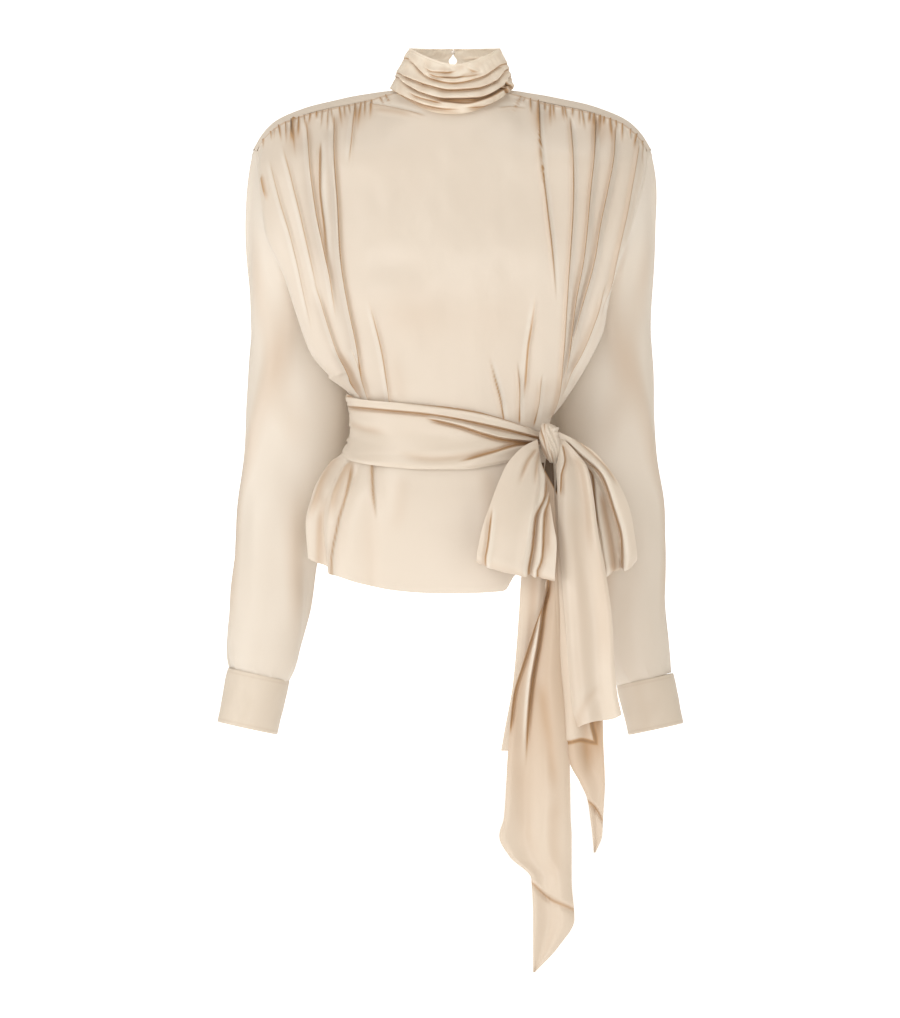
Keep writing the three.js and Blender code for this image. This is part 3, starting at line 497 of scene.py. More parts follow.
YOKE = [
    [[0, 0, 56, 6], [0.15, 26, 50, 6], [0.28, 46, 31, 5], [0.36, 56, 6, 3], [0.42, 62, -25, -1.8],
     [0.5, 92, -25, -9.9], [0.7, 150, -30, -22.6], [0.84, 186, -28, -37.4], [0.93, 203, -20.5, -53.4],
     [1, 209, -11.5, -63.6]],
    [[0, 0, 64, -4], [0.15, 30, 59, -4], [0.28, 53, 42, -3], [0.36, 64, 18, -1], [0.42, 71, 0, 0],
     [0.5, 94, -2, -3], [0.7, 150, -3, -15], [0.84, 187, -4, -30], [0.93, 204, -3, -46], [1, 213, 1, -61]],
    [[0, 0, 73, -28], [0.15, 32, 71, -28], [0.28, 58, 63, -26], [0.36, 72, 50, -22], [0.42, 80, 40, -18],
     [0.5, 97, 36, -18], [0.7, 150, 32, -27], [0.84, 185, 26, -43], [0.93, 201, 20, -58], [1, 211, 17, -69]],
    [[0, 0, 83, -62], [0.15, 34, 82, -62], [0.28, 64, 79, -63], [0.36, 80, 77, -64], [0.42, 90, 75.5, -65],
     [0.5, 105, 73, -67], [0.7, 150, 64, -73], [0.84, 178, 54, -78], [0.93, 193, 46, -82], [1, 204, 36, -85]],
]


def make_yoke():
    s = np.linspace(-1, 1, 200)
    t = np.linspace(0, 1, 60)
    p = soften(through([edge_line(rows, s) for rows in YOKE], t), 3)
    height = 0.5 * ripple(p[..., 0], p[..., 1], 70, 9)
    height -= 0.5 * bell((t[:, None] - 0.965) / 0.012) + 0.3 * bell((t[:, None] - 0.045) / 0.016)
    height *= ease(t[:, None] / 0.02) * ease((1 - t[:, None]) / 0.02)
    p = displaced(p, height)
    # Painted shade in the seam grooves and hollows
    return cloth("yoke_skin", p, hollow_shade(height), replaces=["yoke"])


# Folds of the back, laid like those in front: from the yoke and the underarms down to the waist
BACK_FOLDS = [
    ([(-96, -200), (-86, -250), (-74, -300), (-66, -345)], -1, 10, 3.2, 60, 10),
    ([(-60, -215), (-52, -260), (-44, -300), (-38, -350)], -1, 11, 2.8, 60, 10),
    ([(-20, -240), (-18, -290), (-14, -350)], 0, 6, 2.0, 50, 10),
    ([(12, -230), (13, -280), (14, -350)], 0, 5, 1.6, 50, 10),
    ([(50, -205), (45, -250), (40, -300), (34, -350)], 1, 11, 2.8, 60, 10),
    ([(88, -195), (80, -245), (70, -300), (62, -345)], 1, 10, 3.2, 60, 10),
    ([(-150, -120), (-138, -170), (-120, -225), (-98, -280)], -1, 13, 2.6, 50, 50),
    ([(146, -115), (132, -170), (114, -225), (92, -285)], 1, 13, 2.6, 50, 50),
]


def make_back():
    s = np.linspace(1, -1, 240)
    t = np.linspace(0, 1, 120)
    top = edge_line(YOKE[3], s)
    p = soften(through([top] + [back_section(row, s) for row in BODICE[1:]], t), 3)
    x, z = p[..., 0], p[..., 2]
    height, shade = folded(x, z, BACK_FOLDS)
    rng = np.random.default_rng(4)
    below = top[None, :, 2] - z
    for k in range(16):
        centre = -96 + 12.8 * k + rng.uniform(-4, 4)
        reach = rng.uniform(12, 34)
        gather = rng.uniform(1.2, 2.6) * np.exp(-np.abs(x - centre) / 2.0) * ease(below / 2.5) * \
            (1 - ease(below / reach))
        # Painted shade in the valley of each gather
        height, shade = height - gather, shade + gather / 2.8
    height += 1.0 * ripple(x, z * 0.5, 100, 15)
    height *= ease((z + 352) / 20) * (1 - 0.8 * ease((np.abs(s)[None, :] - 0.9) / 0.1))
    height = height * ease(t[:, None] / 0.008) - 0.6 * bell((t[:, None] - 0.008) / 0.004)
    p = displaced(p, height)
    return cloth("back_skin", p, shade, replaces=["back"])


# Sleeves

SLEEVE_NAMES = "z outer_left inner_left outer_right inner_right y depth rise"
SLEEVE = [
    [-262, 217, 121, 214, 119, 45, 43, 0],
    [-330, 220, 106, 218, 104, 47, 39, 0],
    [-386, 223, 107, 220, 103, 48, 37, 0],
    [-437, 227, 124, 225, 120, 46, 35, 0],
    [-502, 231, 144, 227, 142, 42, 33, 1],
    [-555, 236, 154, 229, 150, 36, 32, 2],
    [-590, 241, 162, 232, 157, 31, 31, 4],
    [-612, 240, 169, 234, 166, 28, 30, 6],
    [-629, 236, 177.5, 235, 177, 27, 29.5, 7.5],
]
SLEEVE_FOLDS = [
    # angle, turn per 100 mm, top, bottom, width in degrees, depth
    [28, 5, -120, -400, 20, 2.4],
    [64, -7, -250, -480, 15, 2.8],
    [84, 8, -400, -600, 16, 2.4],
    [118, -6, -110, -330, 16, 2.6],
    [152, 9, -470, -618, 11, 3.0],
    [196, 7, -280, -540, 16, 3.4],
    [232, -6, -190, -420, 16, 3.2],
    [262, 6, -400, -600, 15, 3.2],
    [305, -7, -240, -500, 16, 3.2],
    [338, 5, -360, -590, 15, 2.8],
]


def sleeve_ring(side, z, angle):
    name = "left" if side < 0 else "right"

    def read(key):
        return column(SLEEVE, SLEEVE_NAMES, "z", key, z)

    outer, inner = read("outer_" + name), read("inner_" + name)
    x = (outer + inner) / 2 + (outer - inner) / 2 * np.cos(angle)
    y = read("y") - read("depth") * np.sin(angle)
    return np.stack([side * x, y, z + read("rise") * np.cos(angle)], axis=-1)


def armhole(side):
    """The panels' edges round the armhole, from the shoulder end down the front and up the back."""
    s = np.array([float(side)])

    def yoke(v):
        return through([edge_line(rows, s) for rows in YOKE], np.array([v]))[0, 0]

    def front(v):
        lines = [edge_line(FRONT_TOP, s)] + [front_section(row, s) for row in BODICE]
        return through(lines, np.array([v]))[0, 0]

    def back(v):
        lines = [edge_line(YOKE[3], s)] + [back_section(row, s) for row in BODICE[1:]]
        return through(lines, np.array([v]))[0, 0]

    down = [yoke(v) for v in (0.4, 0.2, 0.0)]
    down += [front(v) for v in np.linspace(0.03, 5 / 12, 14)]
    up = [back(v) for v in np.linspace(4 / 11, 0.03, 12)] + [yoke(v) for v in (1, 0.8, 0.6, 0.4)]
    return np.array(down), np.array(up)


def even(points, count):
    """Points spaced evenly along a line."""
    steps = np.linalg.norm(np.diff(points, axis=0), axis=1)
    along = np.concatenate([[0], np.cumsum(steps)])
    at = np.linspace(0, along[-1], count)
    return np.stack([np.interp(at, along, points[:, k]) for k in range(3)], axis=-1)


def make_sleeve(side):
    half = 66
    down, up = armhole(side)
    edge = np.concatenate([even(down, half + 1)[:-1], even(up, half + 1)[:-1]])
    angle = np.linspace(0, 2 * np.pi, 2 * half, endpoint=False)
    end = sleeve_ring(side, np.full(angle.shape, -262.0), angle)
    drop = (edge - end)[:, 2]
    outwards = 10 * np.cos(angle / 2) ** 2 + 13 * np.maximum(0, -np.sin(angle)) ** 0.3
    backwards = 46 * np.sqrt(np.maximum(0, np.sin(angle))) * (1 - 0.3 * ease((angle - 2.5) / 0.5))
    b1 = edge + np.stack([side * outwards, backwards, -0.2 * drop], axis=-1)
    b2 = end + np.stack([0 * drop, 0 * drop, 0.35 * drop], axis=-1)
    t = np.linspace(0, 1, 60)[:, None, None]
    cap = (1 - t) ** 3 * edge + 3 * (1 - t) ** 2 * t * b1 + 3 * (1 - t) * t * t * b2 + t ** 3 * end
    z = np.linspace(-262, -629, 190)[1:]
    arm = np.stack([sleeve_ring(side, np.full(angle.shape, level), angle) for level in z])
    p = soften(np.concatenate([cap, arm]), 4, around=True)
    p[0] = edge + np.array([-1.3 * side, 0.4, -0.2])
    degrees = np.degrees(angle)[None, :]
    height = np.zeros(p.shape[:2])
    z = p[..., 2]
    for at, turn, top, bottom, width, depth in SLEEVE_FOLDS:
        line = at + turn * (top - z) / 25
        gap = (degrees - line + 540) % 360 - 180
        height += depth * ease((top - z) / 90) * ease((z - bottom) / 70) * trough(gap, width)
    # Painted shade in the creases, and the whole sleeve painted a little lighter to make up for the shade it hangs in
    shade = 0.35 * hollow_shade(height, 4.0) - 0.1
    height += 1.5 * ripple(degrees * 1.2, z, 150, 31 + side)
    height *= ease(np.arange(len(p)) / 30)[:, None] * ease((z + 640) / 30)
    rng = np.random.default_rng(7 + side)
    for k in range(9):
        gap = (degrees - (k * 40 + rng.uniform(-10, 10)) + 540) % 360 - 180
        reach = rng.uniform(12, 40)
        above = z + 629
        height -= rng.uniform(0.8, 1.8) * np.exp(-np.abs(gap) / 5) * (1 - ease(above / reach)) * ease((above + 6) / 6)
    height -= 0.6 * bell((np.arange(len(p)) - 2) / 0.8)[:, None]
    if side > 0:
        p, height, shade = p[:, ::-1], height[:, ::-1], shade[:, ::-1]
    p = displaced(p, height, around=True)
    name = "left" if side < 0 else "right"
    return cloth("sleeve_%s_skin" % name, p, shade, around=True, material=SLEEVE_SATIN,
                 replaces=["sleeve_" + name])


CUFFS = {
    "left": {"top": (-207, 27, -623.5), "bottom": (-219.5, 24, -681), "half": 32.4, "depth": 30.8},
    "right": {"top": (207, 27, -628.5), "bottom": (218.5, 24, -682), "half": 29.8, "depth": 30.2},
}


def make_cuff(name):
    """Two layers turned at the lower edge, with a stitched line inside each edge."""
    cuff = CUFFS[name]
    top, bottom = np.array(cuff["top"]), np.array(cuff["bottom"])
    down = (bottom - top) / np.linalg.norm(bottom - top)
    across = np.cross([0, -1, 0], down)
    angle = np.linspace(0, 2 * np.pi, 120, endpoint=False)[None, :, None]
    outside = np.linspace(0, 1, 46)
    inside = np.linspace(1, 0.02, 24)
    v = np.concatenate([outside, inside])[:, None, None]
    lift = np.concatenate([0.5 * np.ones(46), -0.9 * np.ones(24)])
    lift[44:48] = [0.3, -0.1, -0.4, -0.8]
    lift[0] = 0.0
    edge = np.minimum(outside * 54, (1 - outside) * 54)
    lift[:46] -= 0.16 * bell((edge - 3.2) / 0.7)
    swell = 1.03 - 0.02 * v
    p = top + (bottom - top) * v + across * cuff["half"] * swell * np.cos(angle)
    p = p + np.array([0, 1, 0]) * cuff["depth"] * swell * np.sin(angle)
    wave = 0.5 * ripple(np.degrees(angle[..., 0]) * 0.6, v[..., 0] * 54, 40, 2)
    height = lift[:, None] + wave
    centre = top + (bottom - top) * v
    out = p - centre
    out = out / np.linalg.norm(out, axis=2, keepdims=True)
    p = p + out * height[..., None]
    # Painted shade along the stitched groove, and over the inner layer inside the cuff
    depth = 0.15 * bell((edge - 3.2) / 1.0)
    shade = np.concatenate([depth, np.full(24, 0.5)])[:, None] + 0 * height
    return cloth("cuff_%s_skin" % name, p, shade, around=True, material=CUFF_SATIN,
                 replaces=["cuff_" + name])


# Collar

# Swags of the collar seen from the front: their lower edges droop from side to side
COLLAR_SWAGS = [
    # line, raised side, width, depth, fade at each end
    ([(-62, 39), (-47, 36), (-34, 22), (-21, 13), (1, 8.5), (33, 16), (52, 29), (70, 34)], 1, 7, 2.6, 14, 14),
    ([(-70, 27), (-57, 20.5), (-27, 7), (-1, 1), (26, 3), (46, 11.5), (58, 24), (72, 28)], 1, 5, 3.4, 10, 12),
    ([(-72, 20), (-58, 16), (-45, 5.5), (-31, -2), (-6, -8.5), (26, -7.5), (51, 4), (63, 18), (74, 21)],
     1, 6, 3.8, 12, 12),
    ([(-20, -12), (-12, -13), (15, -15.5), (35, -10), (55, 1), (66, 9)], -1, 6, 2.8, 14, 8),
    ([(-74, 8), (-60, 0), (-45, -8.6), (-26, -16), (-6, -19.5), (12, -20)], 1, 5, 3.0, 10, 24),
    ([(-50, 1), (-38, -5.5), (-20, -11), (-4, -15)], 1, 3, 2.2, 12, 14),
    ([(8, -18), (30, -17), (50, -9), (64, 0)], 1, 4, 2.4, 18, 12),
]
COLLAR_TUCKS = [
    ([(-30, 26), (-20, 21), (-6, 20), (6, 22)], 1, 3, 2.2, 8, 10),
    ([(-28, 20), (-14, 15.5), (2, 14), (16, 17)], 1, 2.6, 2.2, 8, 12),
    ([(-14, 13), (0, 12.5), (20, 14), (34, 18)], -1, 2.4, 1.8, 8, 12),
    ([(14, 27), (22, 22), (30, 20)], 1, 3, 1.4, 8, 8),
    ([(52, 6), (58, 0), (64, -5)], 1, 2.4, 3.4, 4, 4),
    ([(54, 12), (61, 7), (67, 4)], 1, 2.4, 3.2, 4, 4),
]
KEYHOLE = {"x": 1, "top": 42, "bottom": 31, "half_width": 4}


def keyhole_half(z):
    """Half the width of the slit and its drop-shaped opening at each height."""
    half, bottom, top = KEYHOLE["half_width"], KEYHOLE["bottom"], KEYHOLE["top"]
    middle = bottom + half
    drop = half * np.sqrt(np.clip(1 - ((middle - z) / half) ** 2, 0, 1))
    taper = mix(half, 0.3, ease((z - middle) / (top - middle)))
    return np.where(z < middle, drop, taper) * (z > bottom)


def make_collar():
    u = np.linspace(-1, 1, 400)
    angle = (np.pi * u)[None, :]
    v = np.linspace(0, 1, 124)[:, None]

    def place(angle):
        s, c = np.sin(angle), np.cos(angle)
        front = c > 0
        rim_z = np.where(front, 28 + 19 * np.abs(s) ** 1.6, 47 - c)
        foot_z = np.where(front, -26 + 28.9 * np.abs(s) ** 2.2, 2.9 - 1.8 * c)
        rim = [3 + 49 * s, np.where(front, -2 - 50 * c, -2 - 48 * c)]
        foot = [66 * s, np.where(front, -4 - 79 * c, -4 - 65 * c)]
        flare = np.where(front, v ** 1.3, mix(v ** 1.3, v ** 2.2, -c))
        x, y = mix(rim[0], foot[0], flare), mix(rim[1], foot[1], flare)
        p = np.stack([x, y, mix(rim_z, foot_z, v)], axis=-1)
        out = np.stack([s + 0 * v, -c + 0 * v, 0 * (s + v)], axis=-1)
        return p, out, c

    # Turn the columns by the keyhole aside, so that its edge is a smooth line
    flat, _, _ = place(angle)
    aside = keyhole_half(flat[..., 2]) / 50
    towards = KEYHOLE["x"] / 50 - 0.055
    weight = ease((np.abs(angle) - 2.5) / (np.pi - 2.5))
    p, out, c = place(angle - np.sign(angle) * aside * weight - towards * weight)
    swell = 3 * np.sin(np.pi * v) - 3.5 * ease((v - 0.86) / 0.14) * np.maximum(0, c)
    p = p + out * swell[..., None]
    x, z = p[..., 0], p[..., 2]
    draped = mix(0.25, 1.0, ease((c + 0.7) / 0.9))
    by_side = ease((np.abs(np.sin(angle)) - 0.84) / 0.13)
    swags, painted_light = folded(x, z, COLLAR_SWAGS, across=True)
    tucks, tuck_painted_light = folded(x, z, COLLAR_TUCKS, across=True)
    height = swags * draped * (1 - 0.7 * by_side) + 1.2 * tucks * (c > 0)
    painted_light = 0.95 * painted_light * draped + 1.1 * tuck_painted_light * (c > 0)
    behind = ease((-c - 0.1) / 0.5)
    for level, depth in ((34, 1.6), (25, 1.8), (15, 2.0)):
        droop = level - 4 * c + 0.06 * x
        height += behind * depth * pleat(z - droop, 5) * ease((np.abs(x) - 8) / 20)
    height = height * ease(v / 0.07) * ease((1.02 - v) / 0.05)
    # Painted shade in the swags, tucks and hollows, a little lighter overall, with soft lighter and darker patches
    # painted as the satin's reflections
    shade = np.maximum(painted_light, hollow_shade(height, 4.6)) - 0.06 + 0.13 * ripple(np.degrees(angle) * 0.6, v * 60, 15, 47)
    height += 0.9 * ripple(np.degrees(angle), v * 60, 34, 41) + 0.4 * ripple(np.degrees(angle) * 1.4, v * 90, 16, 43)
    height -= 0.5 * bell((v - 0.035) / 0.012)
    p = p + out * height[..., None]
    p = mix(p, soften(p, 9), (by_side + 0 * v)[..., None])
    return cloth("collar_skin", p, shade, material=COLLAR_SATIN, replaces=["collar"])


# Below the waist

PEPLUM_NAMES = "v left right front_y back_y"
PEPLUM = [
    [0, 106.5, 104, -85.5, 79],
    [0.13, 114.5, 113, -88, 82],
    [0.3, 132, 129, -93, 87],
    [0.42, 146, 141, -97, 90],
    [0.56, 152, 149, -100, 93],
    [0.72, 154, 151, -103, 95],
    [1, 152, 151, -106, 98],
]
PEPLUM_WAVES = [
    # angle width depth
    [-66, 5, -6], [-54, 4, 5], [-32, 5, -3], [-78, 5, 5], [57, 5, 5], [68, 5, -6], [80, 5, 5],
    [112, 7, 6], [128, 6, -6], [148, 8, 6], [166, 7, -6], [184, 8, 6], [202, 7, -6], [222, 8, 6],
    [240, 6, -6],
]
# Gathers of the skirt below the sash, in the front view
PEPLUM_FOLDS = [
    ([(-84, -392), (-83.5, -405), (-82.4, -428), (-79, -462)], 1, 11, 3.4, 6, 34),
    ([(-106, -392), (-118, -416), (-125, -435), (-131, -462)], 0, 4.5, 4.2, 10, 24),
    ([(-119, -388), (-137, -414), (-143, -430), (-153, -462)], 0, 4.0, 4.0, 10, 24),
    ([(-103, -392), (-111, -428), (-120, -461), (-127, -505), (-126, -530)], 1, 9, 3.2, 20, 4),
    ([(-137, -425), (-141, -470), (-144, -520)], 0, 4.0, 2.4, 20, 6),
    ([(-52, -404), (-55, -440), (-60, -480)], 0, 9, 0.7, 20, 30),
    ([(34, -398), (38, -440), (40, -490)], 0, 9, 0.9, 16, 40),
    ([(60, -385), (66, -430), (70, -500)], 1, 9, 2.6, 16, 40),
    ([(128, -392), (136, -430), (142, -490)], -1, 9, 3.0, 14, 40),
]


def peplum_points(degrees, v):
    angle = np.radians(degrees)
    s, c = np.sin(angle), np.cos(angle)
    left = column(PEPLUM, PEPLUM_NAMES, "v", "left", v)
    right = column(PEPLUM, PEPLUM_NAMES, "v", "right", v)
    width = np.where(s < 0, left, right)
    wide_y = mix(-8, -30, ease(v * 1.6))
    front_y = column(PEPLUM, PEPLUM_NAMES, "v", "front_y", v)
    back_y = column(PEPLUM, PEPLUM_NAMES, "v", "back_y", v)
    end_y = np.where(c > 0, front_y, back_y)
    power = np.where(c > 0, 2.3, mix(2.2, 1.75, ease(v * 1.6)))
    x = width * np.sign(s) * np.abs(s) ** (2 / power)
    y = wide_y + (end_y - wide_y) * np.abs(c) ** (2 / power)
    hem = np.where(c > 0, mix(-492, -536, np.maximum(c, 0) ** 1.2), mix(-492, -505, np.maximum(-c, 0)))
    drawn_up = 16 * ease((x - 56) / 12) * ease((c - 0.05) / 0.4)
    return np.stack([x, y, mix(WAIST_Z - 0.4, hem + drawn_up, v) + 0 * s], axis=-1)


def make_peplum(name, first, last, columns):
    degrees = np.linspace(first, last, columns)[None, :]
    v = np.linspace(0, 1, 90)[:, None]
    p = peplum_points(degrees, v)
    angle = np.radians(degrees)
    wave = np.zeros(p.shape[:2])
    for at, width, depth in PEPLUM_WAVES:
        gap = (degrees - at + 540) % 360 - 180
        wave = wave + depth * bell(gap / width)
    wave = wave * ease((v - 0.16) / 0.6)
    out = np.stack([np.sin(angle) + 0 * v, -np.cos(angle) + 0 * v, 0 * (angle + v)], axis=-1)
    p = soften(p + out * wave[..., None], 2)
    height, painted_light = [field * (np.abs(degrees) < 93) for field in folded(p[..., 0], p[..., 2], PEPLUM_FOLDS)]
    height, painted_light = 0.8 * height, 0.45 * painted_light
    rng = np.random.default_rng(17)
    for at in np.arange(100, 262, 12.0):
        gap = (degrees - at - rng.uniform(-3, 3) + 540) % 360 - 180
        reach = rng.uniform(0.35, 0.8)
        height -= rng.uniform(1.5, 3) * np.exp(-np.abs(gap) / 2.2) * ease((v - 0.1) / 0.1) * (1 - ease(v / reach))
    # Painted shade in the folds, gathers and waves
    shade = np.maximum(painted_light, 0.8 * hollow_shade(height + 0.2 * wave, 6.0))
    height += 0.8 * ripple(degrees * 2, v * 170, 80, 19)
    height *= ease((v - 0.08) / 0.12)
    height -= 0.35 * bell((v - 0.962) / 0.006)
    p = displaced(p, height)
    return cloth(name + "_skin", p, shade, replaces=[name])


# Sash

SASH_EDGES = [
    # angle top bottom
    [-180, -338, -400], [-130, -330, -392], [-90, -323, -386], [-60, -329, -395], [-37, -332, -400],
    [-9, -336, -404], [4, -339, -404], [18, -346, -399], [33, -353, -393], [46, -359, -385],
    [59, -364, -380], [72, -363, -384], [90, -357, -394], [130, -346, -400], [180, -338, -400],
]
SASH_NAMES = "z left right wide_y front_y back_y"
SASH_RING = [
    [-322, 111.5, 127, -22, -94, 84],
    [-336, 107.5, 117, -12, -90, 82],
    [-350, 106.5, 107, -9, -87, 80],
    [WAIST_Z, 106.5, 104, -8, -85.5, 79],
    [-387, 116, 115, -10, -88.5, 82],
    [-396, 122, 122.5, -13, -90.5, 84],
    [-405, 129, 127, -16, -92.5, 86],
]
# Folds of the sash in front, drawn into the knot
SASH_FOLDS = [
    ([(-118, -326), (-109, -327), (-56, -333), (30, -345.5), (80, -361)], -1, 3, 2.0, 6, 6),
    ([(-120, -334), (-112, -335), (-70, -339.5), (-22, -344.5), (48, -358.5), (94, -371)], 1, 7, 3.2, 6, 4),
    ([(-30, -348.5), (-12, -352), (8, -357), (48, -369.5), (92, -375)], 1, 6, 3.6, 20, 6),
    ([(26, -362), (54, -371), (92, -377)], 1, 3.5, 1.6, 16, 6),
    ([(4, -398), (15, -395), (41, -387.5), (68, -379.5), (92, -377)], -1, 7, 3.2, 24, 6),
    ([(-60, -388), (-20, -393), (20, -389), (52, -381)], 0, 4, 1.2, 30, 20),
    ([(-112, -352), (-90, -361), (-60, -366)], 0, 4, 1.2, 10, 26),
]
# And round the sides and back: height across the sash, depth and width
SASH_PLEATS = [(0.14, 2.2, 0.05), (0.33, 2.8, 0.06), (0.55, 2.0, 0.05), (0.78, 2.6, 0.06)]


def make_sash():
    degrees = np.linspace(-180, 180, 420, endpoint=False)[None, :]
    v = np.linspace(0, 1, 88)[:, None]
    angle = np.radians(degrees)
    s, c = np.sin(angle), np.cos(angle)
    top = smooth_read([r[0] for r in SASH_EDGES], [r[1] for r in SASH_EDGES], degrees)
    bottom = smooth_read([r[0] for r in SASH_EDGES], [r[2] for r in SASH_EDGES], degrees)
    z = mix(top, bottom, v)

    def read(key):
        return column(SASH_RING, SASH_NAMES, "z", key, z)

    width = np.where(s < 0, read("left"), read("right"))
    end_y = np.where(c > 0, read("front_y"), read("back_y"))
    x = width * np.sign(s) * np.abs(s) ** (2 / 2.3)
    y = read("wide_y") + (end_y - read("wide_y")) * np.abs(c) ** (2 / 2.3)
    y = y - 2.5 * bell((degrees - 66) / 9)
    p = np.stack([x, y, z], axis=-1)
    height, painted_light = [field * ease((c + 0.05) / 0.2) for field in folded(x, z, SASH_FOLDS, across=True)]
    behind = ease((0.25 - c) / 0.3)
    for at, depth, wide in SASH_PLEATS:
        e = (v - at - 0.03 * np.sin(angle * 2 + 5 * at)) / wide
        height = height + behind * depth * (0.7 + 0.3 * np.sin(angle * 3 + 9 * at)) * pleat(-e * 4, 5)
    height *= 1 - 0.7 * ease((-x - 100) / 12) * (c > -0.1)
    # Painted shade in the folds and pleats
    shade = np.clip(painted_light, hollow_shade(height, 5.5), 1)
    height += 0.5 * ripple(degrees * 1.9, v * 62, 60, 27)
    edges = bell(v / 0.035) + bell((v - 1) / 0.035)
    lift = np.maximum(3.4 + height - 1.8 * edges, 0.9)
    out = np.stack([s + 0 * v, -c + 0 * v, 0 * (s + v)], axis=-1)
    p = p + out * lift[..., None]
    return cloth("sash_skin", p, shade, around=True, material=SATIN_TIE, replaces=["sash"])


KNOT = {"x": 104, "y": -69, "z": -377, "half_width": 10.5, "half_depth": 14, "half_height": 22}
# across the band, depth, width
KNOT_FOLDS = [(-0.85, 1.4, 2.5), (-0.42, 2.2, 4), (0.02, 2.6, 4.5), (0.42, 1.8, 3.5), (0.8, 1.4, 3)]


def make_knot():
    """The band that wraps the crossing: a full roll that leans to the right, with folds along it."""
    turn = np.linspace(0, 2 * np.pi, 170, endpoint=False)[None, :]
    tilt = np.linspace(0.06, np.pi - 0.06, 96)[:, None]
    r = np.sin(tilt) ** 0.62
    across = np.cos(turn)
    folds = 0.0
    for at, depth, width in KNOT_FOLDS:
        line = at - 0.55 * np.cos(tilt) + 0.08 * np.sin(3 * tilt + 5 * at)
        folds = folds + depth * pleat((across - line) * KNOT["half_width"], width)
    ruffle = bell((tilt - 0.8) / 0.3) * ease((across - 0.3) / 0.5) * (1 + 0.4 * np.cos(tilt * 24))
    height = (folds * np.sin(tilt) ** 0.5 + 3.4 * ruffle) * (np.sin(turn) > -0.3)
    r = r * (1 - 0.4 * ease((tilt - 1.7) / 1.3))
    lean = 2.2 * np.cos(tilt) * -1.0
    x = KNOT["x"] + (KNOT["half_width"] * r + 0.6 * height) * across + lean
    y = KNOT["y"] - (KNOT["half_depth"] * r + 0.9 * height) * np.sin(turn)
    z = KNOT["z"] + KNOT["half_height"] * np.cos(tilt) - 2.0 * across * np.sin(tilt) + 2.5 * ruffle
    p = np.stack([x, y, z], axis=-1)
    # Painted shade in the knot's folds
    return cloth("knot_skin", p, hollow_shade(folds, 2.4), around=True, material=SATIN_TIE,
                 replaces=["knot"])


# Bow loops: outer edge, crease and inner edge of the face, down to the turn at the bottom

LOOPS = {
    "left": [
        [91, -372, 93, -384, 94.5, -396, -78, 4],
        [77, -379, 92, -398, 99, -410, -94, 6],
        [60, -396, 92, -414, 102, -424, -107, 9],
        [50, -416, 90, -432, 105, -444, -119, 12],
        [41, -440, 86, -455, 108, -464, -130, 15],
        [32, -466, 81, -480, 111, -484, -137, 17],
        [26, -494, 75, -508, 109, -516, -140, 18],
    ],
    "right": [
        [113.9, -364, 114.4, -370, 114.8, -376, -68, 4],
        [134, -374, 130, -384, 125, -392, -66, 7],
        [150, -384, 144, -397, 136, -408, -68, 11],
        [165, -401, 156, -414, 144, -424, -76, 14],
        [180, -424, 165, -436, 150, -446, -84, 16],
        [190, -450, 174, -462, 157, -470, -90, 17],
        [197, -492, 182, -502, 164, -510, -94, 18],
    ],
}
LOOP_FOLDS = {
    "left": [
        ([(98, -392), (99, -407), (97.6, -431), (87, -456), (84, -485), (76, -530)], -1, 9, 4.6, 18, 4),
        ([(103, -426), (102, -435), (96.6, -454), (94.7, -495), (80, -530)], -1, 4, 3.4, 14, 4),
        ([(100, -440), (102, -470), (101, -500)], 0, 4, 1.8, 14, 20),
        ([(44, -440), (41.5, -464), (39, -485), (33, -512)], 1, 5, 2.6, 26, 6),
        ([(91, -380), (80, -396), (70, -424)], 0, 2.4, 1.8, 6, 24),
        ([(94, -382), (90, -400), (88, -424)], 0, 2.0, 1.5, 6, 20),
    ],
    "right": [
        ([(122, -372), (133, -384), (161, -411), (172, -442), (182, -481), (183, -520)], 1, 8, 3.8, 10, 6),
        ([(140, -396), (151, -411), (154, -446), (160, -485), (166, -525)], 1, 5, 3.0, 14, 6),
        ([(158, -424), (163, -450), (170, -490), (173, -520)], 0, 3, 2.2, 16, 10),
        ([(126, -367), (146, -384), (164, -402), (178, -424)], 0, 2.0, 1.4, 8, 16),
    ],
}


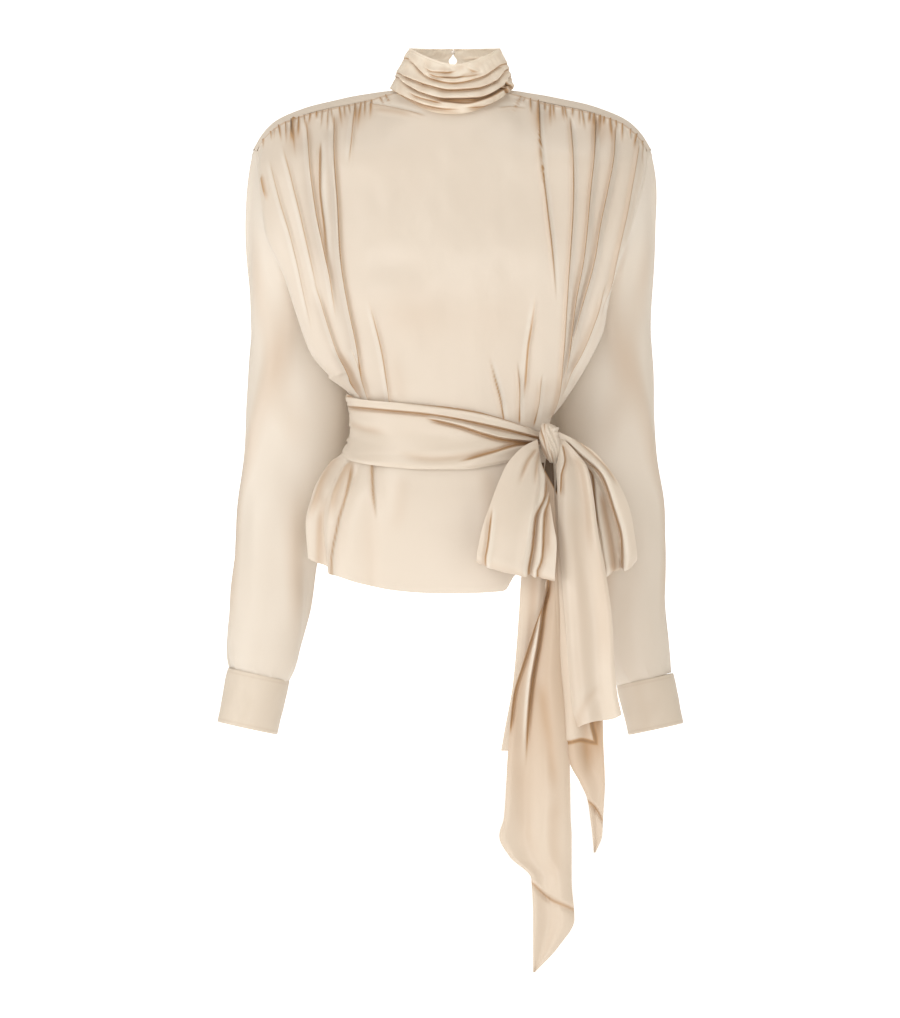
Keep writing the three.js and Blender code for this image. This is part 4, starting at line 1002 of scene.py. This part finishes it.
def make_loop(name):
    rows = np.array(LOOPS[name], float)
    at = np.arange(len(rows))
    u = np.linspace(0, 1, 90)[None, :]

    def face(t, behind):
        t = t[:, None]
        ox, oz, cx, cz, rx, rz, fy, gap = [smooth_read(at, rows[:, k], t * (len(rows) - 1)) for k in range(8)]
        f = np.minimum(u / 0.65, 1)
        g = np.clip((u - 0.65) / 0.35, 0, 1)
        x = mix(mix(ox, cx, f), rx, g)
        z = mix(mix(oz, cz, f), rz, g)
        step = 6 * ease((u - 0.62) / 0.1) * ease(t * 3)
        swell = 4 * np.sin(np.pi * f) * ease(t * 2)
        fold, painted_light = folded(x, z, LOOP_FOLDS[name])
        y = fy + step - swell - fold * (1 - behind) + behind * (gap - step * 0.6 + swell * 1.4)
        return np.stack([x, y, z], axis=-1), painted_light

    front, painted_light = face(np.linspace(0, 1, 80), 0.0)
    rear, _ = face(np.linspace(1, 0, 60), 1.0)
    a, b = front[-1], rear[0]
    radius = (b[:, 1] - a[:, 1]) / 2
    bend = []
    for turn in np.linspace(0, 1, 14)[1:-1]:
        y = (a[:, 1] + b[:, 1]) / 2 - radius * np.cos(turn * np.pi)
        z = a[:, 2] - radius * np.sin(turn * np.pi)
        bend.append(np.stack([a[:, 0], y, z], axis=-1))
    p = np.concatenate([front, np.array(bend), rear])
    p = soften(p, 2)
    # Painted shade in the folds, deepening round the bend at the bottom and over the rear inside the loop
    turned = np.linspace(0, 1, len(bend))[:, None]
    shade = np.minimum(np.concatenate([painted_light, mix(painted_light[-1], 0.5, turned), np.full((60, 90), 0.6)]), 1)
    return cloth("bow_loop_%s_skin" % name, p, shade, material=SATIN_TIE, replaces=["bow_loop_" + name])


# Hanging ends: left and right edge at each height, and how far forward they hang

TAILS = {
    "tail_front": [
        [-366, 108, 112, -63], [-371, 110.5, 117, -67], [-377, 112.5, 124, -72], [-388, 113, 134, -77], [-402, 111, 144, -87], [-430, 112, 150, -98],
        [-470, 113, 155, -112], [-513, 116, 163, -120], [-565, 120, 170, -122], [-620, 124, 173, -122],
        [-650, 127, 176, -121], [-670, 133, 180, -120],
    ],
    "tail_behind": [
        [-391, 112.9, 122, -66], [-430, 110, 138, -84], [-470, 108, 148, -96], [-513, 107, 154, -104],
        [-600, 111, 160, -109], [-650, 117, 160, -109], [-700, 120, 161, -109], [-719, 126, 162, -108],
        [-737, 136, 162.5, -107], [-756, 144, 161.5, -107], [-773, 146.5, 160.5, -106], [-793, 149, 159.5, -106],
        [-811, 150.5, 152.5, -106],
    ],
    "tail_long": [
        [-389, 100.5, 107, -70], [-400, 99, 108, -74], [-430, 96, 109, -90], [-470, 96, 111, -103], [-529, 99, 113, -113],
        [-586, 82, 116, -116], [-649, 64, 121, -116], [-707, 59, 125, -115], [-773, 55, 126, -114],
        [-793, 50, 127, -114], [-815, 61, 127, -113], [-838, 84, 127, -113], [-882, 86, 130, -112],
        [-911, 86, 113, -112], [-938, 86, 88, -112],
    ],
    "tail_strand": [
        [-396.8, 93, 98, -71.5], [-430, 87, 97, -87], [-480, 78, 102, -101], [-523, 73, 105, -107],
        [-557, 71, 103, -109], [-629, 65, 95, -109], [-680, 56, 84, -108], [-703, 52, 78, -108],
    ],
}
TAIL_FOLDS = {
    "tail_front": [
        ([(116, -376), (119, -394), (115, -411), (114, -436)], -1, 3, 2.4, 6, 14),
        ([(128, -384), (136, -404), (142, -440), (146, -500)], 0, 5, 1.4, 14, 40),
        ([(126, -430), (134, -500), (138, -580), (136, -660)], 0, 9, 1.2, 30, 50),
        ([(157, -630), (147, -644), (138, -660), (131, -680)], 0, 5, 1.0, 16, 3),
        ([(155, -470), (160, -540), (162, -620)], 0, 8, 1.2, 40, 40),
    ],
    "tail_behind": [
        ([(136, -520), (140, -640), (146, -740)], 0, 6, 2.6, 40, 40),
        ([(150, -520), (152, -640), (156, -720)], 0, 5, 1.8, 40, 40),
    ],
    "tail_long": [
        ([(101, -520), (99.5, -530), (85, -578), (74, -613), (65, -644), (60, -690)], -1, 6, 3.0, 4, 26),
        ([(101, -525), (96, -548), (90.5, -587), (83, -631), (80, -664), (77, -725)], -1, 5, 4.6, 14, 90),
        ([(94, -620), (98, -660), (106, -715), (110, -760)], 0, 6, 1.8, 30, 40),
        ([(72, -700), (76, -760), (84, -830)], 0, 9, 1.4, 40, 40),
        ([(112, -740), (108, -790), (112, -850)], 0, 7, 1.4, 30, 40),
    ],
    "tail_strand": [
        ([(84, -430), (86, -520), (80, -620), (64, -700)], 0, 5, 1.8, 30, 20),
    ],
}
# Where an end is turned over: the cloth above the line lies over its reverse
TURNED = {
    "tail_behind": ([(140, -748), (145, -754), (153.7, -763), (162, -779)], 3.2),
    "tail_long": ([(50, -800), (66, -822), (84.5, -840), (103, -857), (127, -868), (132, -871)], 3.6),
}
# How far the lower edge falls or rises from its left to its right corner, and how much painted shade each end gets,
# darker towards the top
TAIL_HEMS = {"tail_front": [-8, -4, -1.5, -0.5, 1, 5.5]}
TAIL_SHADE = {"tail_front": 0.04, "tail_behind": 0.5, "tail_long": 0.36, "tail_strand": 0.12}
# A shorter end lies over tail_behind, down to this corner
SHORT_END = {"x": 151, "z": -693}
TAIL_WAVES = {"tail_front": (1.5, 0.6), "tail_behind": (1, 2), "tail_long": (1.4, 3.4), "tail_strand": (1, 0.3)}


def make_tail(name):
    rows = np.array(TAILS[name], float)
    z = np.linspace(rows[0, 0], rows[-1, 0], 340)[:, None]
    v = np.linspace(0, 1, 340)[:, None]
    u = np.linspace(0, 1, 68)[None, :]
    left = smooth_read(rows[:, 0], rows[:, 1], z)
    right = smooth_read(rows[:, 0], rows[:, 2], z)
    y = smooth_read(rows[:, 0], rows[:, 3], z)
    spread = np.clip((right - left - 8) / 40, 0, 1)
    waves, phase = TAIL_WAVES[name]
    wave = 3.5 * spread * np.cos(2 * np.pi * waves * u + phase)
    hem = TAIL_HEMS.get(name, [0, 0])
    lower = smooth_read(np.linspace(0, 1, len(hem)), hem, u) * ease((v - 0.82) / 0.18)
    p = np.stack([mix(left, right, u), y + wave, z + lower], axis=-1)
    x, zz = p[..., 0], p[..., 2]
    height, shade = folded(x, zz, TAIL_FOLDS[name])
    if name == "tail_behind":
        short_x = SHORT_END["x"] - 4 * ease((zz - SHORT_END["z"]) / 22)
        short_z = SHORT_END["z"] + 3 * bell((x - 137) / 9)
        height = height + 2.4 * ease((short_x - x) / 1.5) * ease((zz - short_z) / 1.5)
        # Painted shade just beside the short end's edge, and the short end itself painted a little lighter
        inside = np.minimum(short_x - x, zz - short_z)
        shade = shade + 0.8 * bell((inside + 1.6) / 1.6) * ease((zz + 712) / 10) - 0.3 * ease(inside / 2)
    if name in TURNED:
        line, step = TURNED[name]
        e = zz - smooth_read([q[0] for q in line], [q[1] for q in line], x)
        over = ease((e + 2) / 4)
        height = height + step * over * (1 - 0.6 * ease(e / 60)) - 0.8 * step * bell((e + 4) / 3)
        # Painted shade under the turned edge
        shade = shade + 0.5 * bell((e + 2.5) / 2)
        height = height - 2.2 * (1 - over) * bell((u - 0.45) / 0.2)
    # Painted shade from the folds, capped, plus more towards the top of each end
    shade = np.minimum(shade, 0.8) + TAIL_SHADE[name] * (1 - 0.6 * ease((-z - 640) / 160))
    if name != "tail_front":
        # Above this line the cloth is painted dark, as painted shadow for the hole under the knot
        painted_hole_edge = -412 - 1.9 * (x - 102.4)
        shade = shade + 2.0 * ease((zz - painted_hole_edge) / 5 + 0.5) * ease((zz + 470) / 20)
    height = height + 0.7 * spread * ripple(u * 60, z, 110, 61)
    margin = np.minimum(x - left, right - x)
    height = height - 0.3 * bell((margin - 3.4) / 0.8)
    roll = 2.2 * spread * (bell(u / 0.05) + bell((1 - u) / 0.05))
    p[..., 1] -= height - roll
    p = soften(p, 1)
    return cloth(name + "_skin", p, shade, material=SATIN_TIE, replaces=[name])


def make_button():
    """A small round pearl in the slit of the collar."""
    low, high = (np.array(corner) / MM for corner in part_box("collar_button"))
    centre = (low + high) / 2
    turn = np.linspace(0, 2 * np.pi, 32, endpoint=False)[None, :]
    tilt = np.linspace(0.02, np.pi - 0.02, 24)[:, None]
    radius = (high - low) / 2
    p = np.stack([centre[0] + radius[0] * np.sin(tilt) * np.cos(turn),
                  centre[1] - radius[1] * np.sin(tilt) * np.sin(turn),
                  centre[2] + radius[2] * np.cos(tilt) + 0 * turn], axis=-1)
    return cloth("collar_button_skin", p, None, around=True, material=PEARL, replaces=["collar_button"])


front = make_front()
yoke = make_yoke()
back = make_back()
sleeve_left, sleeve_right = make_sleeve(-1), make_sleeve(1)
cuff_left, cuff_right = make_cuff("left"), make_cuff("right")
collar = make_collar()
peplum_front = make_peplum("peplum_front", -96, 96, 300)
peplum_back = make_peplum("peplum_back", 95.6, 264.4, 240)
sash = make_sash()
knot = make_knot()
loop_left, loop_right = make_loop("left"), make_loop("right")
tails = [make_tail(name) for name in TAILS]
button = make_button()


# Camera, floor and light

def make_camera():
    """Level with the middle of the photograph and far off, so that sizes hold across its depth."""
    scale, width, height = 1.07, 900, 1018
    centre_x, neck_x, neck_y = 450, 452, 92
    distance = 14.0
    data = bpy.data.cameras.new("camera")
    data.sensor_width = 36
    data.lens = 36 * distance / (height * scale * MM)
    data.clip_end = 60
    camera = bpy.data.objects.new("camera", data)
    x = (centre_x - neck_x) * scale * MM
    z = (neck_y - height / 2) * scale * MM
    camera.location = (x, -distance, z)
    camera.rotation_euler = (math.pi / 2, 0, 0)
    bpy.context.scene.collection.objects.link(camera)
    bpy.context.scene.camera = camera


def plain_sheet(name, corners, white):
    mesh = bpy.data.meshes.new(name)
    mesh.from_pydata(corners, [], [(0, 1, 2, 3)])
    material = bpy.data.materials.new(name)
    tree = nodes_of(material)
    out = tree.nodes.new("ShaderNodeOutputMaterial")
    shader = tree.nodes.new("ShaderNodeBsdfPrincipled")
    shader.inputs["Base Color"].default_value = (0.9, 0.9, 0.9, 1)
    shader.inputs["Roughness"].default_value = 1.0
    shader.inputs["Emission Color"].default_value = (1, 1, 1, 1)
    shader.inputs["Emission Strength"].default_value = white
    tree.links.new(shader.outputs[0], out.inputs[0])
    mesh.materials.append(material)
    sheet = bpy.data.objects.new(name, mesh)
    bpy.context.scene.collection.objects.link(sheet)


def make_floor():
    """A pale floor, and a white sheet of paper far behind, lit evenly from within."""
    size, level, far, wide = 12.0, -0.99, 20.0, 4.0
    plain_sheet("floor", [(-size, -size, level), (size, -size, level), (size, size, level), (-size, size, level)], 0.62)
    plain_sheet("backdrop", [(-wide, far, -wide), (wide, far, -wide), (wide, far, wide), (-wide, far, wide)], 1.0)


def make_light(name, place, target, size, energy, colour=(1, 1, 1)):
    from mathutils import Vector
    data = bpy.data.lights.new(name, "AREA")
    data.shape = "SQUARE"
    data.size = size
    data.energy = energy
    data.color = colour
    light = bpy.data.objects.new(name, data)
    light.location = place
    light.rotation_euler = (Vector(target) - Vector(place)).to_track_quat("-Z", "Y").to_euler()
    bpy.context.scene.collection.objects.link(light)


def make_world():
    world = bpy.data.worlds.new("world")
    bpy.context.scene.world = world
    world.use_nodes = True
    background = world.node_tree.nodes["Background"]
    background.inputs["Color"].default_value = (1, 0.935, 0.83, 1)
    background.inputs["Strength"].default_value = 0.54


make_camera()
make_floor()
make_world()
middle = (0, 0, -0.45)
make_light("key", (-1.9, -2.6, 1.3), middle, 1.2, 27)
make_light("left", (-3.0, -1.6, -0.5), middle, 1.6, 20)
make_light("fill", (2.4, -2.6, 0.3), middle, 1.8, 11, (1.0, 0.96, 0.9))
make_light("front", (0.0, -6.0, -0.3), middle, 1.2, 42)
make_light("top", (0.1, -0.5, 2.2), middle, 1.4, 14)

bpy.context.scene.view_settings.view_transform = "Standard"
